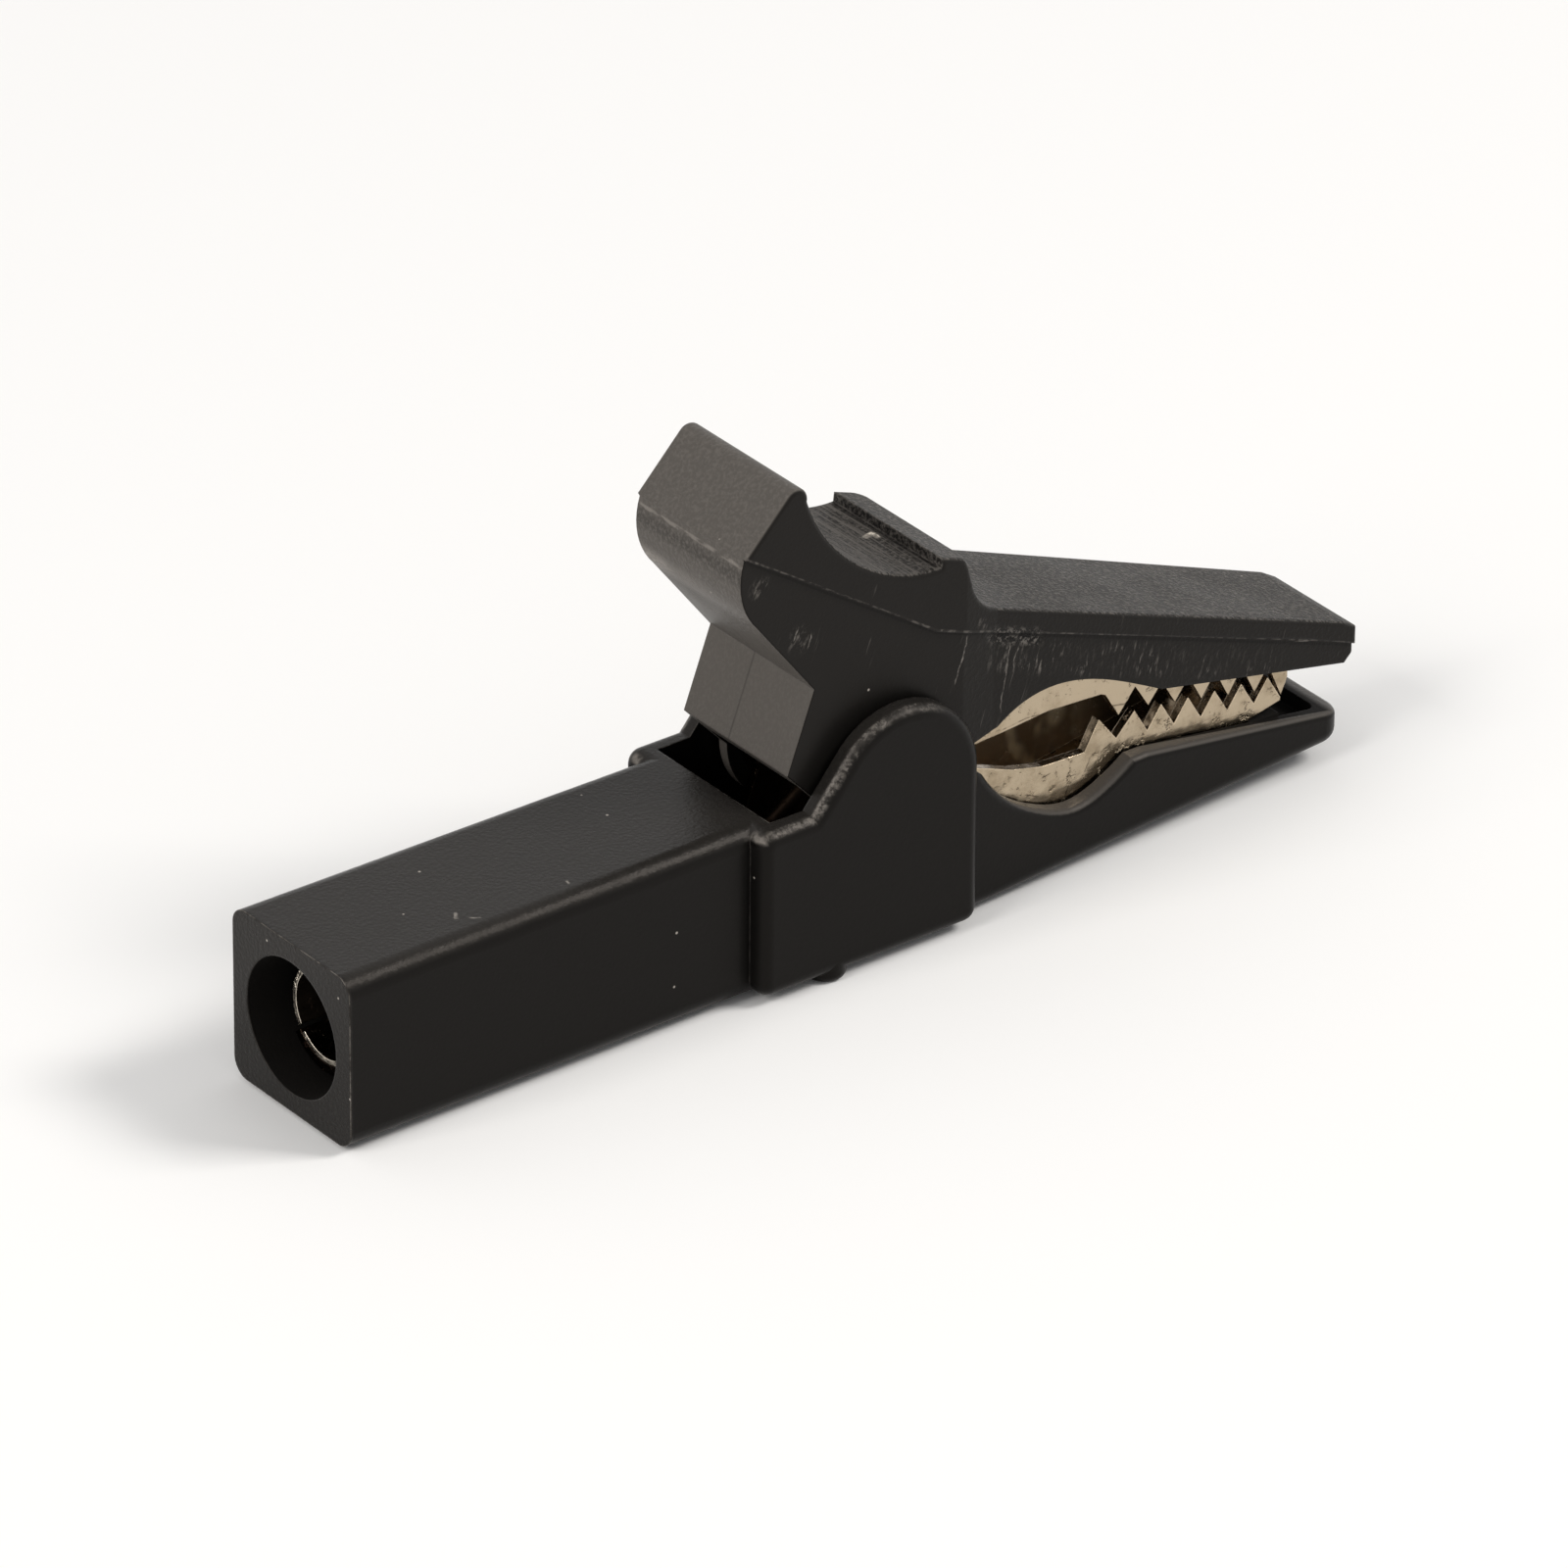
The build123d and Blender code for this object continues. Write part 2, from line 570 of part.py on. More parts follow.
def upper_jaw():
    """Upper stamping: a toothed channel under the lever, two ears, and a tail in the pad."""
    skin = LEVER_WALL + STAMPING_GAP
    teeth = upper_teeth()
    end_x = teeth[-1][0] + END_LAND
    ear = METAL_EAR_R
    outer_roof = roof(skin)
    inner_roof = roof(skin + SHEET)
    back = [from_pivot(*TAIL_HIGH), from_pivot(*TAIL_LOW), from_pivot(-0.97 * ear, 0.2 * ear)]
    under = [from_pivot(0.86 * ear, -0.14 * ear)] + before_teeth(UPPER_METAL_THROAT)
    lip = teeth[-1][2] + END_LIP
    front = [(end_x, 0, lip), (LEVER_TIP, 0, lip)]
    shape = widen(side_face(outer_roof + back + under + teeth + front), BENCH / 4)
    shape = shape & block((0, end_x), BENCH / 4, (-BENCH, BENCH))
    body = (shape + bar_y(ear, -BENCH / 4, BENCH / 4)) & metal_plan(UPPER_EAR_HALF, 0)
    rear = 2 * TAIL_HIGH[0]
    behind = [from_pivot(rear, TAIL_HIGH[1]), from_pivot(rear, -BENCH)]
    inside = side_face(inner_roof + behind + [(LEVER_TIP, 0, -BENCH)])
    hollow = widen(inside, BENCH / 4) & metal_plan(UPPER_EAR_HALF, SHEET)
    return body - hollow - bar_y(RIVET_R + HINGE_FIT, -LEVER_HALF, LEVER_HALF)


# Small parts


def plug_socket():
    """Rolled sleeve for a 4 mm plug, open along its seam."""
    start = SOCKET_RECESS
    end = start + SOCKET_LENGTH
    sleeve = bar_x(SLEEVE_R, start, end) - bar_x(SOCKET_R, start - 1, end + 1)
    slit = Pos((start + end) / 2, SLEEVE_R, 0) * Box(SOCKET_LENGTH + 1, SLEEVE_R, SOCKET_SLIT)
    return sleeve - slit.rotate(Axis.X, SOCKET_SEAM_ANGLE)


def pivot_rivet():
    """Rivet through the four ears, with a domed head at each end."""
    seat = UPPER_EAR_HALF + STAMPING_GAP
    head = bar_y(RIVET_HEAD_R, seat, seat + RIVET_HEAD)
    head = fillet(head.faces().sort_by(Axis.Y)[-1].edges(), RIVET_HEAD * 0.7)
    return bar_y(RIVET_R, -seat, seat) + head + head.mirror(Plane.XZ)


def spring_leg(start, angle, length):
    """A straight leg of the spring, with a rounded end, in a plane beside the lever's middle."""
    turn = radians(angle)
    direction = Vector(cos(turn), 0, sin(turn))
    disc = Plane(origin=start, z_dir=direction) * Circle(WIRE / 2)
    return extrude(disc, amount=length, dir=direction) + Pos(*start) * Sphere(WIRE / 2)


def torsion_spring():
    """Coil round the rivet; one leg lies in the handle and the other lifts the lever's tail."""
    begin = LOWER_LEG_ANGLE + 90 - 360
    finish = UPPER_LEG_ANGLE - 90
    turns = COIL_TURNS + (finish - begin) / 360
    length = turns * COIL_PITCH
    path = Helix(COIL_PITCH, length, COIL_R)
    coil = sweep(Plane(origin=path @ 0, z_dir=path % 0) * Circle(WIRE / 2), path=path, is_frenet=True)
    coil = coil.rotate(Axis.Z, begin).rotate(Axis.X, 90)
    coil = Pos(PIVOT_X, length / 2, PIVOT_Z) * coil
    ends = []
    for angle, y in ((begin, length / 2), (finish, -length / 2)):
        turn = radians(angle)
        ends.append((PIVOT_X + COIL_R * cos(turn), y, PIVOT_Z + COIL_R * sin(turn)))
    lower_leg = spring_leg(ends[0], LOWER_LEG_ANGLE, LOWER_LEG)
    upper_leg = spring_leg(ends[1], UPPER_LEG_ANGLE, UPPER_LEG)
    return coil + lower_leg + upper_leg


PIECES = {
    "housing": housing,
    "lever": lever,
    "lower_jaw": lower_jaw,
    "upper_jaw": upper_jaw,
    "plug_socket": plug_socket,
    "pivot_rivet": pivot_rivet,
    "torsion_spring": torsion_spring,
}

os.makedirs("parts", exist_ok=True)
for name, make in PIECES.items():
    export_step(make(), f"parts/{name}.step")
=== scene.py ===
# %% [markdown]
# # An insulated crocodile clip
#
# The clip is two black mouldings on one rivet, with a toothed steel channel
# inside each jaw. A test lead's 4 mm plug goes into the square handle, and a
# thumb on the pad opens the jaws against a coiled spring.
#
# Every hard shape comes from the imported CAD model, in metres, with +X towards
# the jaws' tips and +Z up. This script gives those shapes their finishes,
# makes the spring again as a tube of wire, and sets up the light and the
# camera.

# %% Load the imported model
import bpy
from math import cos, pi, radians, sin
from mathutils import Matrix, Vector


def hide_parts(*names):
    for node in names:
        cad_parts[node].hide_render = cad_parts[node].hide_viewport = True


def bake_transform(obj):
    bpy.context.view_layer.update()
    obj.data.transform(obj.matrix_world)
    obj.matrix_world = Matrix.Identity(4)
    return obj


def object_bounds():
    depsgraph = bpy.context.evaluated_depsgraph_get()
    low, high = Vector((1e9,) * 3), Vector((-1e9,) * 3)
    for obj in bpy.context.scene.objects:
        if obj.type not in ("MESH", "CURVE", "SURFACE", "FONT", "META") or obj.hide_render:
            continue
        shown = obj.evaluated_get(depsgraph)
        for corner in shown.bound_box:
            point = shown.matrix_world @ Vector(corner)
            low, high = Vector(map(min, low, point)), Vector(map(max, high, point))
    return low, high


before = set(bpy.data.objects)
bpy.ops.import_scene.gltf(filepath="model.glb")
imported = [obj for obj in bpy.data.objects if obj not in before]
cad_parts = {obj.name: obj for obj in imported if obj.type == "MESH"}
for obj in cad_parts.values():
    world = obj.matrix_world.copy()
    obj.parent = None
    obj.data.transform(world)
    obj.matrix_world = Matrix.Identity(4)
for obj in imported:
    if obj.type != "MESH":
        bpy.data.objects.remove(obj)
cad_low, cad_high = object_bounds()
MM = 0.001
print("nodes:", sorted(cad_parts))
print("CAD box, mm:", [round(v / MM, 2) for v in (*cad_low, *cad_high)])

# %% [markdown]
# ## The camera
#
# A product picture like this one is taken from far away with a long lens, so
# parallel edges stay almost parallel. The camera could be aimed by hand, but
# a position, two angles and a small roll are easier to read and to repeat.
# The lens follows from the distance: at 0.6 m, a 319 mm lens fills the frame.

# %% Place the camera
CAMERA_PLACE = Vector((-292.67, -411.00, 298.02)) * MM
CAMERA_AZIMUTH = radians(-37.80)
CAMERA_ELEVATION = radians(29.567)
CAMERA_ROLL = radians(0.488)
LENS = 319.27
SENSOR_WIDTH = 36
NEAREST_SEEN = 0.01
FARTHEST_SEEN = 10


def camera_axes(azimuth, elevation, roll):
    """Right, up and backward directions of a camera that looks at the clip."""
    back = Vector((sin(azimuth) * cos(elevation), -cos(azimuth) * cos(elevation), sin(elevation)))
    right = Vector((cos(azimuth), sin(azimuth), 0))
    up = back.cross(right)
    return right * cos(roll) + up * sin(roll), up * cos(roll) - right * sin(roll), back


camera_data = bpy.data.cameras.new("camera")
camera_data.lens = LENS
camera_data.sensor_width = SENSOR_WIDTH
camera_data.clip_start = NEAREST_SEEN
camera_data.clip_end = FARTHEST_SEEN
camera = bpy.data.objects.new("camera", camera_data)
right, up, back = camera_axes(CAMERA_AZIMUTH, CAMERA_ELEVATION, CAMERA_ROLL)
camera.matrix_world = Matrix.Translation(CAMERA_PLACE) @ Matrix((right, up, back)).transposed().to_4x4()
bpy.context.scene.collection.objects.link(camera)
bpy.context.scene.camera = camera
bpy.context.scene.view_settings.view_transform = "Standard"
print("camera looks along", [round(-v, 4) for v in back])

# %% [markdown]
# ## Helpers for shader nodes
#
# Every finish below is a small graph of nodes. Making each node takes three
# or four lines in plain bpy, which hides the idea of the graph. These helpers
# make one node, set its options, and link or fill its inputs in one line.
#
# Most of them work on shares, which are numbers from 0 to 1 that say how much
# of something a point of the surface gets.


# %% Make and link a shader node
def add(tree, kind, inputs=None, **options):
    """A new shader node with its options set and its inputs linked or filled."""
    made = tree.nodes.new("ShaderNode" + kind)
    for option, value in options.items():
        setattr(made, option, value)
    for name, value in (inputs or {}).items():
        if isinstance(value, bpy.types.NodeSocket):
            tree.links.new(value, made.inputs[name])
        else:
            made.inputs[name].default_value = value
    return made


def new_material(name):
    """A material with its node tree and its shader."""
    material = bpy.data.materials.new(name)
    material.use_nodes = True
    return material, material.node_tree, material.node_tree.nodes["Principled BSDF"]


# %% Do sums on numbers and sockets
def math(tree, operation, a, b=0.0):
    """The result of one sum on two numbers or sockets."""
    return add(tree, "Math", {0: a, 1: b}, operation=operation).outputs[0]


def total(tree, a, b):
    """One value plus another."""
    return math(tree, "ADD", a, b)


def less(tree, a, b):
    """One value minus another."""
    return math(tree, "SUBTRACT", a, b)


def unsigned(tree, value):
    """A value without its sign."""
    return math(tree, "ABSOLUTE", value)


def distance(tree, across, up):
    """The length of the straight line over two distances at a right angle."""
    return math(tree, "SQRT", total(tree, math(tree, "POWER", across, 2), math(tree, "POWER", up, 2)))


# %% Join and shape shares
def both(tree, *shares):
    """The product of several shares: 1 only where all of them are 1."""
    result = shares[0]
    for share in shares[1:]:
        result = math(tree, "MULTIPLY", result, share)
    return result


def any_of(tree, *shares):
    """The largest of several shares: 1 where one of them is 1."""
    result = shares[0]
    for share in shares[1:]:
        result = math(tree, "MAXIMUM", result, share)
    return result


def ramp(tree, value, low, high, to_low=0.0, to_high=1.0):
    """A value taken smoothly from one range to another, and held at its ends."""
    made = add(tree, "MapRange", {0: value, 1: low, 2: high, 3: to_low, 4: to_high})
    made.interpolation_type = "SMOOTHSTEP"
    return made.outputs[0]


def outside(tree, share):
    """The reverse of a share: 1 where it is 0."""
    return ramp(tree, share, 0, 1, 1, 0)


def window(tree, value, low, high, soft):
    """1 between two limits and 0 outside them, with soft ends."""
    rise = ramp(tree, value, low - soft, low + soft)
    return both(tree, rise, ramp(tree, value, high - soft, high + soft, 1, 0))


def mix(tree, share, first, second):
    """A colour between two colours, by a share from 0 to 1."""
    return add(tree, "Mix", {0: share, 6: first, 7: second}, data_type="RGBA").outputs[2]


# %% Read places, directions and noise on a piece
def millimetres(tree, stretch=(1, 1, 1), lean=0.0):
    """Places on the piece in millimetres, stretched, and leaned about Y by an angle in degrees."""
    place = add(tree, "TexCoord").outputs["Object"]
    turned = add(tree, "Mapping", {"Vector": place, "Rotation": (0, radians(lean), 0)}).outputs[0]
    return add(tree, "Mapping", {"Vector": turned, "Scale": tuple(s / MM for s in stretch)}).outputs[0]


def place_xyz(tree):
    """The three coordinates of a place, in millimetres."""
    return add(tree, "SeparateXYZ", {0: millimetres(tree)}).outputs


def facing_xyz(tree):
    """The three parts of the direction that a face looks in."""
    return add(tree, "SeparateXYZ", {0: add(tree, "TexCoord").outputs["Normal"]}).outputs


def noise(tree, scale, stretch=(1, 1, 1), lean=0.0, detail=2.0, roughness=0.5):
    """Noise over the piece, with its scale in cycles per millimetre."""
    place = millimetres(tree, stretch, lean)
    inputs = {"Vector": place, "Scale": scale, "Detail": detail, "Roughness": roughness}
    return add(tree, "TexNoise", inputs).outputs[0]


# %% [markdown]
# ## Light and floor
#
# Black plastic shows almost nothing but reflections, so the light is made of
# soft sources: a white sky to all sides, a lamp over the jaws that draws a
# bright line along the rounded edges, and a wider one beyond the handle that
# lights the back of the thumb pad. Small lamps close by would be easier to
# aim, but they leave a bright pool on the floor, so both hang 0.9 m away.
# Neither faces the clip's near side, so that side stays dark.
#
# The sky looks white to the camera and in reflections, but it lights the clip
# with less than half of that, so that the lamps keep their say. The floor is
# plain and pale, and it keeps the clip's shadow.

# %% Set up the world
SKY_WHITE = 1.0
SKY_LIGHT = 0.45

world = bpy.data.worlds.new("studio")
bpy.context.scene.world = world
world.use_nodes = True
sky = world.node_tree
sky.nodes.clear()
paths = add(sky, "LightPath").outputs
seen = any_of(sky, paths["Is Camera Ray"], paths["Is Transmission Ray"], paths["Is Glossy Ray"])
strength = total(sky, both(sky, seen, SKY_WHITE - SKY_LIGHT), SKY_LIGHT)
background = add(sky, "Background", {"Color": (1, 1, 1, 1), "Strength": strength})
add(sky, "OutputWorld", {"Surface": background.outputs[0]})
print("sky lights the clip at", SKY_LIGHT, "of the white that is seen")

# %% Hang the lamps
CLIP_MIDDLE = Vector((27, 0, 5))
LAMP_DISTANCE = 900
WARM_WHITE = (1.0, 0.97, 0.93)


def soft_lamp(name, direction, size, watts):
    """A square area lamp in a direction from the clip, with its size in millimetres."""
    data = bpy.data.lights.new(name, "AREA")
    data.size = size * MM
    data.energy = watts
    data.color = WARM_WHITE
    lamp = bpy.data.objects.new(name, data)
    aim = Vector(direction).normalized()
    lamp.location = (CLIP_MIDDLE + aim * LAMP_DISTANCE) * MM
    lamp.rotation_mode = "QUATERNION"
    lamp.rotation_quaternion = aim.to_track_quat("Z", "Y")
    bpy.context.scene.collection.objects.link(lamp)
    print(name, "hangs at", [round(v, 2) for v in lamp.location], "m")


soft_lamp("lamp over the jaws", direction=(0.54, -0.44, 0.72), size=280, watts=4.0)
soft_lamp("lamp at the pad", direction=(-0.82, -0.05, 0.57), size=430, watts=3.9)

# %% Lay the floor
FLOOR_HALF = 3.0
FLOOR_COLOUR = (0.96, 0.96, 0.96, 1)

floor_z = cad_low.z
corners = [(x * FLOOR_HALF, y * FLOOR_HALF, floor_z) for x, y in ((-1, -1), (1, -1), (1, 1), (-1, 1))]
floor_mesh = bpy.data.meshes.new("floor")
floor_mesh.from_pydata(corners, [], [(0, 1, 2, 3)])
floor = bpy.data.objects.new("floor", floor_mesh)
bpy.context.scene.collection.objects.link(floor)
paint, _, shader = new_material("pale floor")
shader.inputs["Base Color"].default_value = FLOOR_COLOUR
shader.inputs["Roughness"].default_value = 1.0
floor.data.materials.append(paint)
print("floor at", round(floor_z / MM, 2), "mm")

# %% [markdown]
# ## Black moulded plastic: what both mouldings share
#
# The two mouldings are nylon, dyed black. On the thumb pad and the jaw's top
# the tool was spark-eroded, so those faces are finely grained, scatter the
# light and look grey; their paler colour is partly that grain and partly
# painted light. The sides are smoother and are painted almost black, partly
# as painted shade. Handling has left paler lines along the sharp edges, fine
# scratches and a few specks of dust. The shader's usual shine would turn the
# black grey under so white a sky, so it is turned down, and its tint keeps
# the reflections warm.
#
# A picture could be wrapped round the piece, but noise in the piece's own
# millimetres needs no unwrapping and keeps its scale on every face. The worn
# edges come from the Bevel node: where its rounded normal differs from the
# flat one, there is an edge.

# %% Find edges and dust
BEVEL_SAMPLES = 8
EDGE_BEND = (0.985, 0.80)
SPECK_RADIUS = (0.06, 0.03)
SPECK_PICK = 0.02


def edge_share(tree, radius):
    """How near a point is to a sharp edge, and the normal that rounds that edge off."""
    rounded = add(tree, "Bevel", {"Radius": radius * MM}, samples=BEVEL_SAMPLES).outputs[0]
    flat = add(tree, "NewGeometry").outputs["True Normal"]
    same = add(tree, "VectorMath", {0: rounded, 1: flat}, operation="DOT_PRODUCT").outputs["Value"]
    return ramp(tree, same, *EDGE_BEND), rounded


def specks(tree, scale, share):
    """Small round dust specks: a few of the cells of a Voronoi pattern get one each."""
    place = millimetres(tree)
    cells = add(tree, "TexVoronoi", {"Vector": place, "Scale": scale, "Randomness": 1.0}).outputs
    pick = add(tree, "SeparateColor", {0: cells["Color"]}).outputs[0]
    chosen = ramp(tree, pick, 1 - share, 1 + SPECK_PICK - share)
    return both(tree, ramp(tree, cells["Distance"], *SPECK_RADIUS), chosen)


# %% Draw single marks
WAVER_SCALE = 1.4
WAVER = 0.45
MARK_END = 0.1
BREAK_SCALE = 3.0
BREAKS = (0.35, 0.6, 0.2, 1.0)


def along_angle(tree, first, second, angle):
    """The distance along a direction, from two distances at a right angle."""
    return total(tree, both(tree, first, cos(angle)), both(tree, second, sin(angle)))


def drawn_marks(tree, across, up, marks):
    """Short strokes on a face: (across, up, length, width, angle in degrees), in millimetres."""
    result = 0.0
    middle = less(tree, noise(tree, scale=WAVER_SCALE, detail=3), 0.5)
    across = total(tree, across, both(tree, middle, WAVER))
    for mark_across, mark_up, length, width, angle in marks:
        dx = less(tree, across, mark_across)
        dz = less(tree, up, mark_up)
        along = along_angle(tree, dx, dz, radians(angle))
        aside = along_angle(tree, dx, dz, radians(angle) + pi / 2)
        near = ramp(tree, unsigned(tree, aside), width, width / 3)
        stroke = both(tree, near, window(tree, along, -length / 2, length / 2, MARK_END))
        result = any_of(tree, result, stroke)
    return both(tree, result, ramp(tree, noise(tree, scale=BREAK_SCALE, detail=3), *BREAKS))


# %% Choose colours by place
STOP_BLEND = 0.1
WARMTH = 0.10


def colour_along(tree, x, stops):
    """A colour for each stretch of the clip: pairs of (where it ends in mm, colour), in order."""
    colour = stops[0][1]
    for (end, _), (_, following) in zip(stops, stops[1:]):
        colour = mix(tree, ramp(tree, x, end - STOP_BLEND, end + STOP_BLEND), colour, following)
    return colour


def grey(level):
    """A slightly warm grey, as a linear colour."""
    return (level * (1 + WARMTH), level, level * (1 - WARMTH), 1)


# %% Put the shared layers together
# The pale colour of wear, also used for painted highlights.
PALE_WEAR_AND_HIGHLIGHT = grey(0.20)
DUST = grey(0.42)
DUST_SCALE = 0.75
DUST_SHARE = 0.24
DUST_COVER = 0.8
PATCHES = (0.36, 0.62, 0.1, 1.0)
CLOUDS = (0.3, 0.7, -0.05, 0.06)
WORN_ROUGHER = 0.15
RELIEF_DEPTH = 0.02
PLASTIC_SHINE = 0.13
SHINE_TINT = (1.0, 0.92, 0.86, 1)


def new_plastic(name):
    """A material with its tree and shader, at the plastic's uniform settings."""
    material, tree, shader = new_material(name)
    shader.inputs["Specular IOR Level"].default_value = PLASTIC_SHINE
    shader.inputs["Specular Tint"].default_value = SHINE_TINT
    return material, tree, shader


def press_relief(tree, shader, height, rounded):
    """Press a pattern of heights into the surface, over its rounded edges."""
    inputs = {"Height": height, "Distance": RELIEF_DEPTH * MM, "Strength": 1.0, "Normal": rounded}
    tree.links.new(add(tree, "Bump", inputs).outputs[0], shader.inputs["Normal"])


def finish_plastic(tree, shader, colour, wear, height, rounded, rough):
    """Link wear, with any painted highlight that rides on it, dust, roughness and relief, which both
    mouldings have alike.
    """
    worn = both(tree, wear, ramp(tree, noise(tree, scale=1.8, detail=4), *PATCHES))
    colour = mix(tree, worn, colour, PALE_WEAR_AND_HIGHLIGHT)
    dusty = both(tree, specks(tree, DUST_SCALE, DUST_SHARE), DUST_COVER)
    tree.links.new(mix(tree, dusty, colour, DUST), shader.inputs["Base Color"])
    rough = total(tree, rough, ramp(tree, noise(tree, scale=0.22, detail=4), *CLOUDS))
    rough = total(tree, rough, both(tree, worn, WORN_ROUGHER))
    tree.links.new(rough, shader.inputs["Roughness"])
    press_relief(tree, shader, height, rounded)


# %% [markdown]
# ## The handle's plastic
#
# The lower moulding is plain: glossy enough on top to mirror the lever's foot,
# and satin on its sides. The rounded edges beside the slot are rubbed pale by
# fingers, so that wear is put there by its place and by the way the face
# looks; at the cheek's corner and along the ears' edges that pale paint is
# partly a painted highlight too. A painted highlight runs along the top's
# rounded crest and the jaw's rim, and painted shade lies on the back of each
# cheek. Inside the slot, the bore and the jaw's hollow little light gets in,
# so they are painted near black as shade, and made matt.
#
# Painting each zone by hand would work too, but a zone that is written as a
# place can be moved with one number. In the values below, a pair says where a
# share starts and where it is full, and further numbers say what it turns
# into. A triple for a window says from where, to where and how softly.

# %% Tell the handle's top from its sides
# The sides and the end face are painted darker than the top, partly for their smoother finish and partly as
# painted shade.
HANDLE_SKIN = [(0.15, grey(0.010)), (33.0, grey(0.016)), (60.0, grey(0.014))]
SHADED_HANDLE_SIDE = grey(0.0025)
UPRIGHT = (0.75, 0.35)
PAST_END_FACE = (0.05, 0.15)
FINE_SCALE = 5.5
PALE_GRAIN = (0.45, 0.75, 0, 0.25)
HANDLE_GRAIN = grey(0.03)

handle_plastic, tree, shader = new_plastic("black nylon, satin")
x, y, z = place_xyz(tree)
_, to_y, to_z = facing_xyz(tree)
out = unsigned(tree, y)
from_axis = distance(tree, y, z)
side = both(tree, ramp(tree, unsigned(tree, to_z), *UPRIGHT), ramp(tree, x, *PAST_END_FACE))
fine = noise(tree, scale=FINE_SCALE, detail=3)
colour = mix(tree, side, colour_along(tree, x, HANDLE_SKIN), SHADED_HANDLE_SIDE)
colour = mix(tree, both(tree, ramp(tree, fine, *PALE_GRAIN), outside(tree, side)), colour, HANDLE_GRAIN)

# %% Paint a highlight on the crest and the jaw's rim, and shade on the cheek's back
CREST_TILT = (0.64, 0.82, 0.08)
CREST_SIDEWAYS = (0.3, 0.5)
CREST_Z = (3.2, 3.5)
CHEEK_BACK_X = (20.75, 21.25, 0.18)
CHEEK_OUT = (4.0, 4.2)
JAW_RIM_X = (33.2, 56.0, 0.1)
RIM_UPWARD = (0.4, 0.7)
CREST_HIGHLIGHT_GREY = grey(0.018)
CHEEK_BACK_SHADE = grey(0.0005)
RIM_HIGHLIGHT_GREY = grey(0.065)

# Painted highlight: a slightly paler band along the top's rounded crest.
crest = both(tree, window(tree, to_z, *CREST_TILT), ramp(tree, unsigned(tree, to_y), *CREST_SIDEWAYS))
colour = mix(tree, both(tree, crest, ramp(tree, z, *CREST_Z)), colour, CREST_HIGHLIGHT_GREY)
# Painted shade: the rounded back corner of each cheek is painted near black.
shaded_cheek_back = both(tree, window(tree, x, *CHEEK_BACK_X), ramp(tree, out, *CHEEK_OUT))
colour = mix(tree, shaded_cheek_back, colour, CHEEK_BACK_SHADE)
# Painted highlight: the upward faces of the jaw's rim are painted paler.
rim_top_highlight = both(tree, window(tree, x, *JAW_RIM_X), ramp(tree, to_z, *RIM_UPWARD))
colour = mix(tree, rim_top_highlight, colour, RIM_HIGHLIGHT_GREY)

# %% Scratch the handle's top
HANDLE_MARKS = [(6.9, -2.3, 0.5, 0.10, 60), (7.5, -2.9, 0.5, 0.06, -35), (12.4, -2.87, 0.25, 0.1, 80)]
TOP_UPWARD = (0.7, 0.9)

top_marks = both(tree, drawn_marks(tree, x, y, HANDLE_MARKS), ramp(tree, to_z, *TOP_UPWARD))
colour = mix(tree, top_marks, colour, PALE_WEAR_AND_HIGHLIGHT)
print("handle has", len(HANDLE_MARKS), "single marks on top")

# %% Paint shade into the handle's hollows
SLOT_X = (22.35, 33.0, 0.05)
SLOT_OUT = (4.0, 3.9)
SLOT_Z = (4.1, 4.0)
BORE_RADIUS = (3.3, 3.22)
BORE_X = (0.02, 23, 0.02)
JAW_HOLLOW_X = (33.0, 54.5, 0.3)
JAW_HOLLOW_OUT = (2.75, 2.65)
LOW_CHEEK_Z = (3.7, 3.4)
HOLLOW_SHADE = grey(0.003)

# Painted shade: the slot, the bore and the jaw's hollow are painted near black, where little light gets in.
in_slot = both(tree, window(tree, x, *SLOT_X), ramp(tree, out, *SLOT_OUT), ramp(tree, z, *SLOT_Z))
in_bore = both(tree, ramp(tree, from_axis, *BORE_RADIUS), window(tree, x, *BORE_X))
in_jaw = both(tree, window(tree, x, *JAW_HOLLOW_X), ramp(tree, out, *JAW_HOLLOW_OUT))
hollow = any_of(tree, in_slot, in_bore, in_jaw)
colour = mix(tree, hollow, colour, HOLLOW_SHADE)
low_cheek = both(tree, shaded_cheek_back, ramp(tree, z, *LOW_CHEEK_Z))

# %% Rub the handle's sharp edges
HANDLE_EDGE_RADIUS = 0.12
END_X = (0.25, 0.1)
END_RADIUS = (3.5, 3.8)
SLOT_BACK_X = (21.3, 23.0, 0.1)
SLOT_BACK_Z = (3.9, 4.05)
RIM_X = (33.5, 54.0, 0.3)
RIM_Z = (-3.5, -2.5)
WORN_SPOTS = (0, 1, 0.15, 0.9)

edge, rounded = edge_share(tree, HANDLE_EDGE_RADIUS)
at_end = both(tree, ramp(tree, x, *END_X), ramp(tree, from_axis, *END_RADIUS))
by_slot = both(tree, window(tree, x, *SLOT_BACK_X), ramp(tree, z, *SLOT_BACK_Z))
along_rim = both(tree, window(tree, x, *RIM_X), ramp(tree, z, *RIM_Z))
wear = both(tree, edge, ramp(tree, any_of(tree, at_end, by_slot, along_rim), *WORN_SPOTS))

# %% Rub the cheeks' corners and the ears' rounded edges, partly as painted highlight
CORNER_X = (20.9, 21.5, 0.12)
CORNER_OUT = (3.85, 4.05)
CORNER_Z = (3.6, 3.8)
CORNER_WEAR_AND_HIGHLIGHT = 0.9
EAR_TILT = (0.25, 0.80, 0.12)
EAR_Z = (3.7, 3.95)
EAR_X = (21.3, 30.5, 1.2)
EAR_OUT = (4.2, 4.4)
EAR_WEAR_SCALE = 5.0
EAR_WEAR = (0.38, 0.60, 0.10, 0.65)

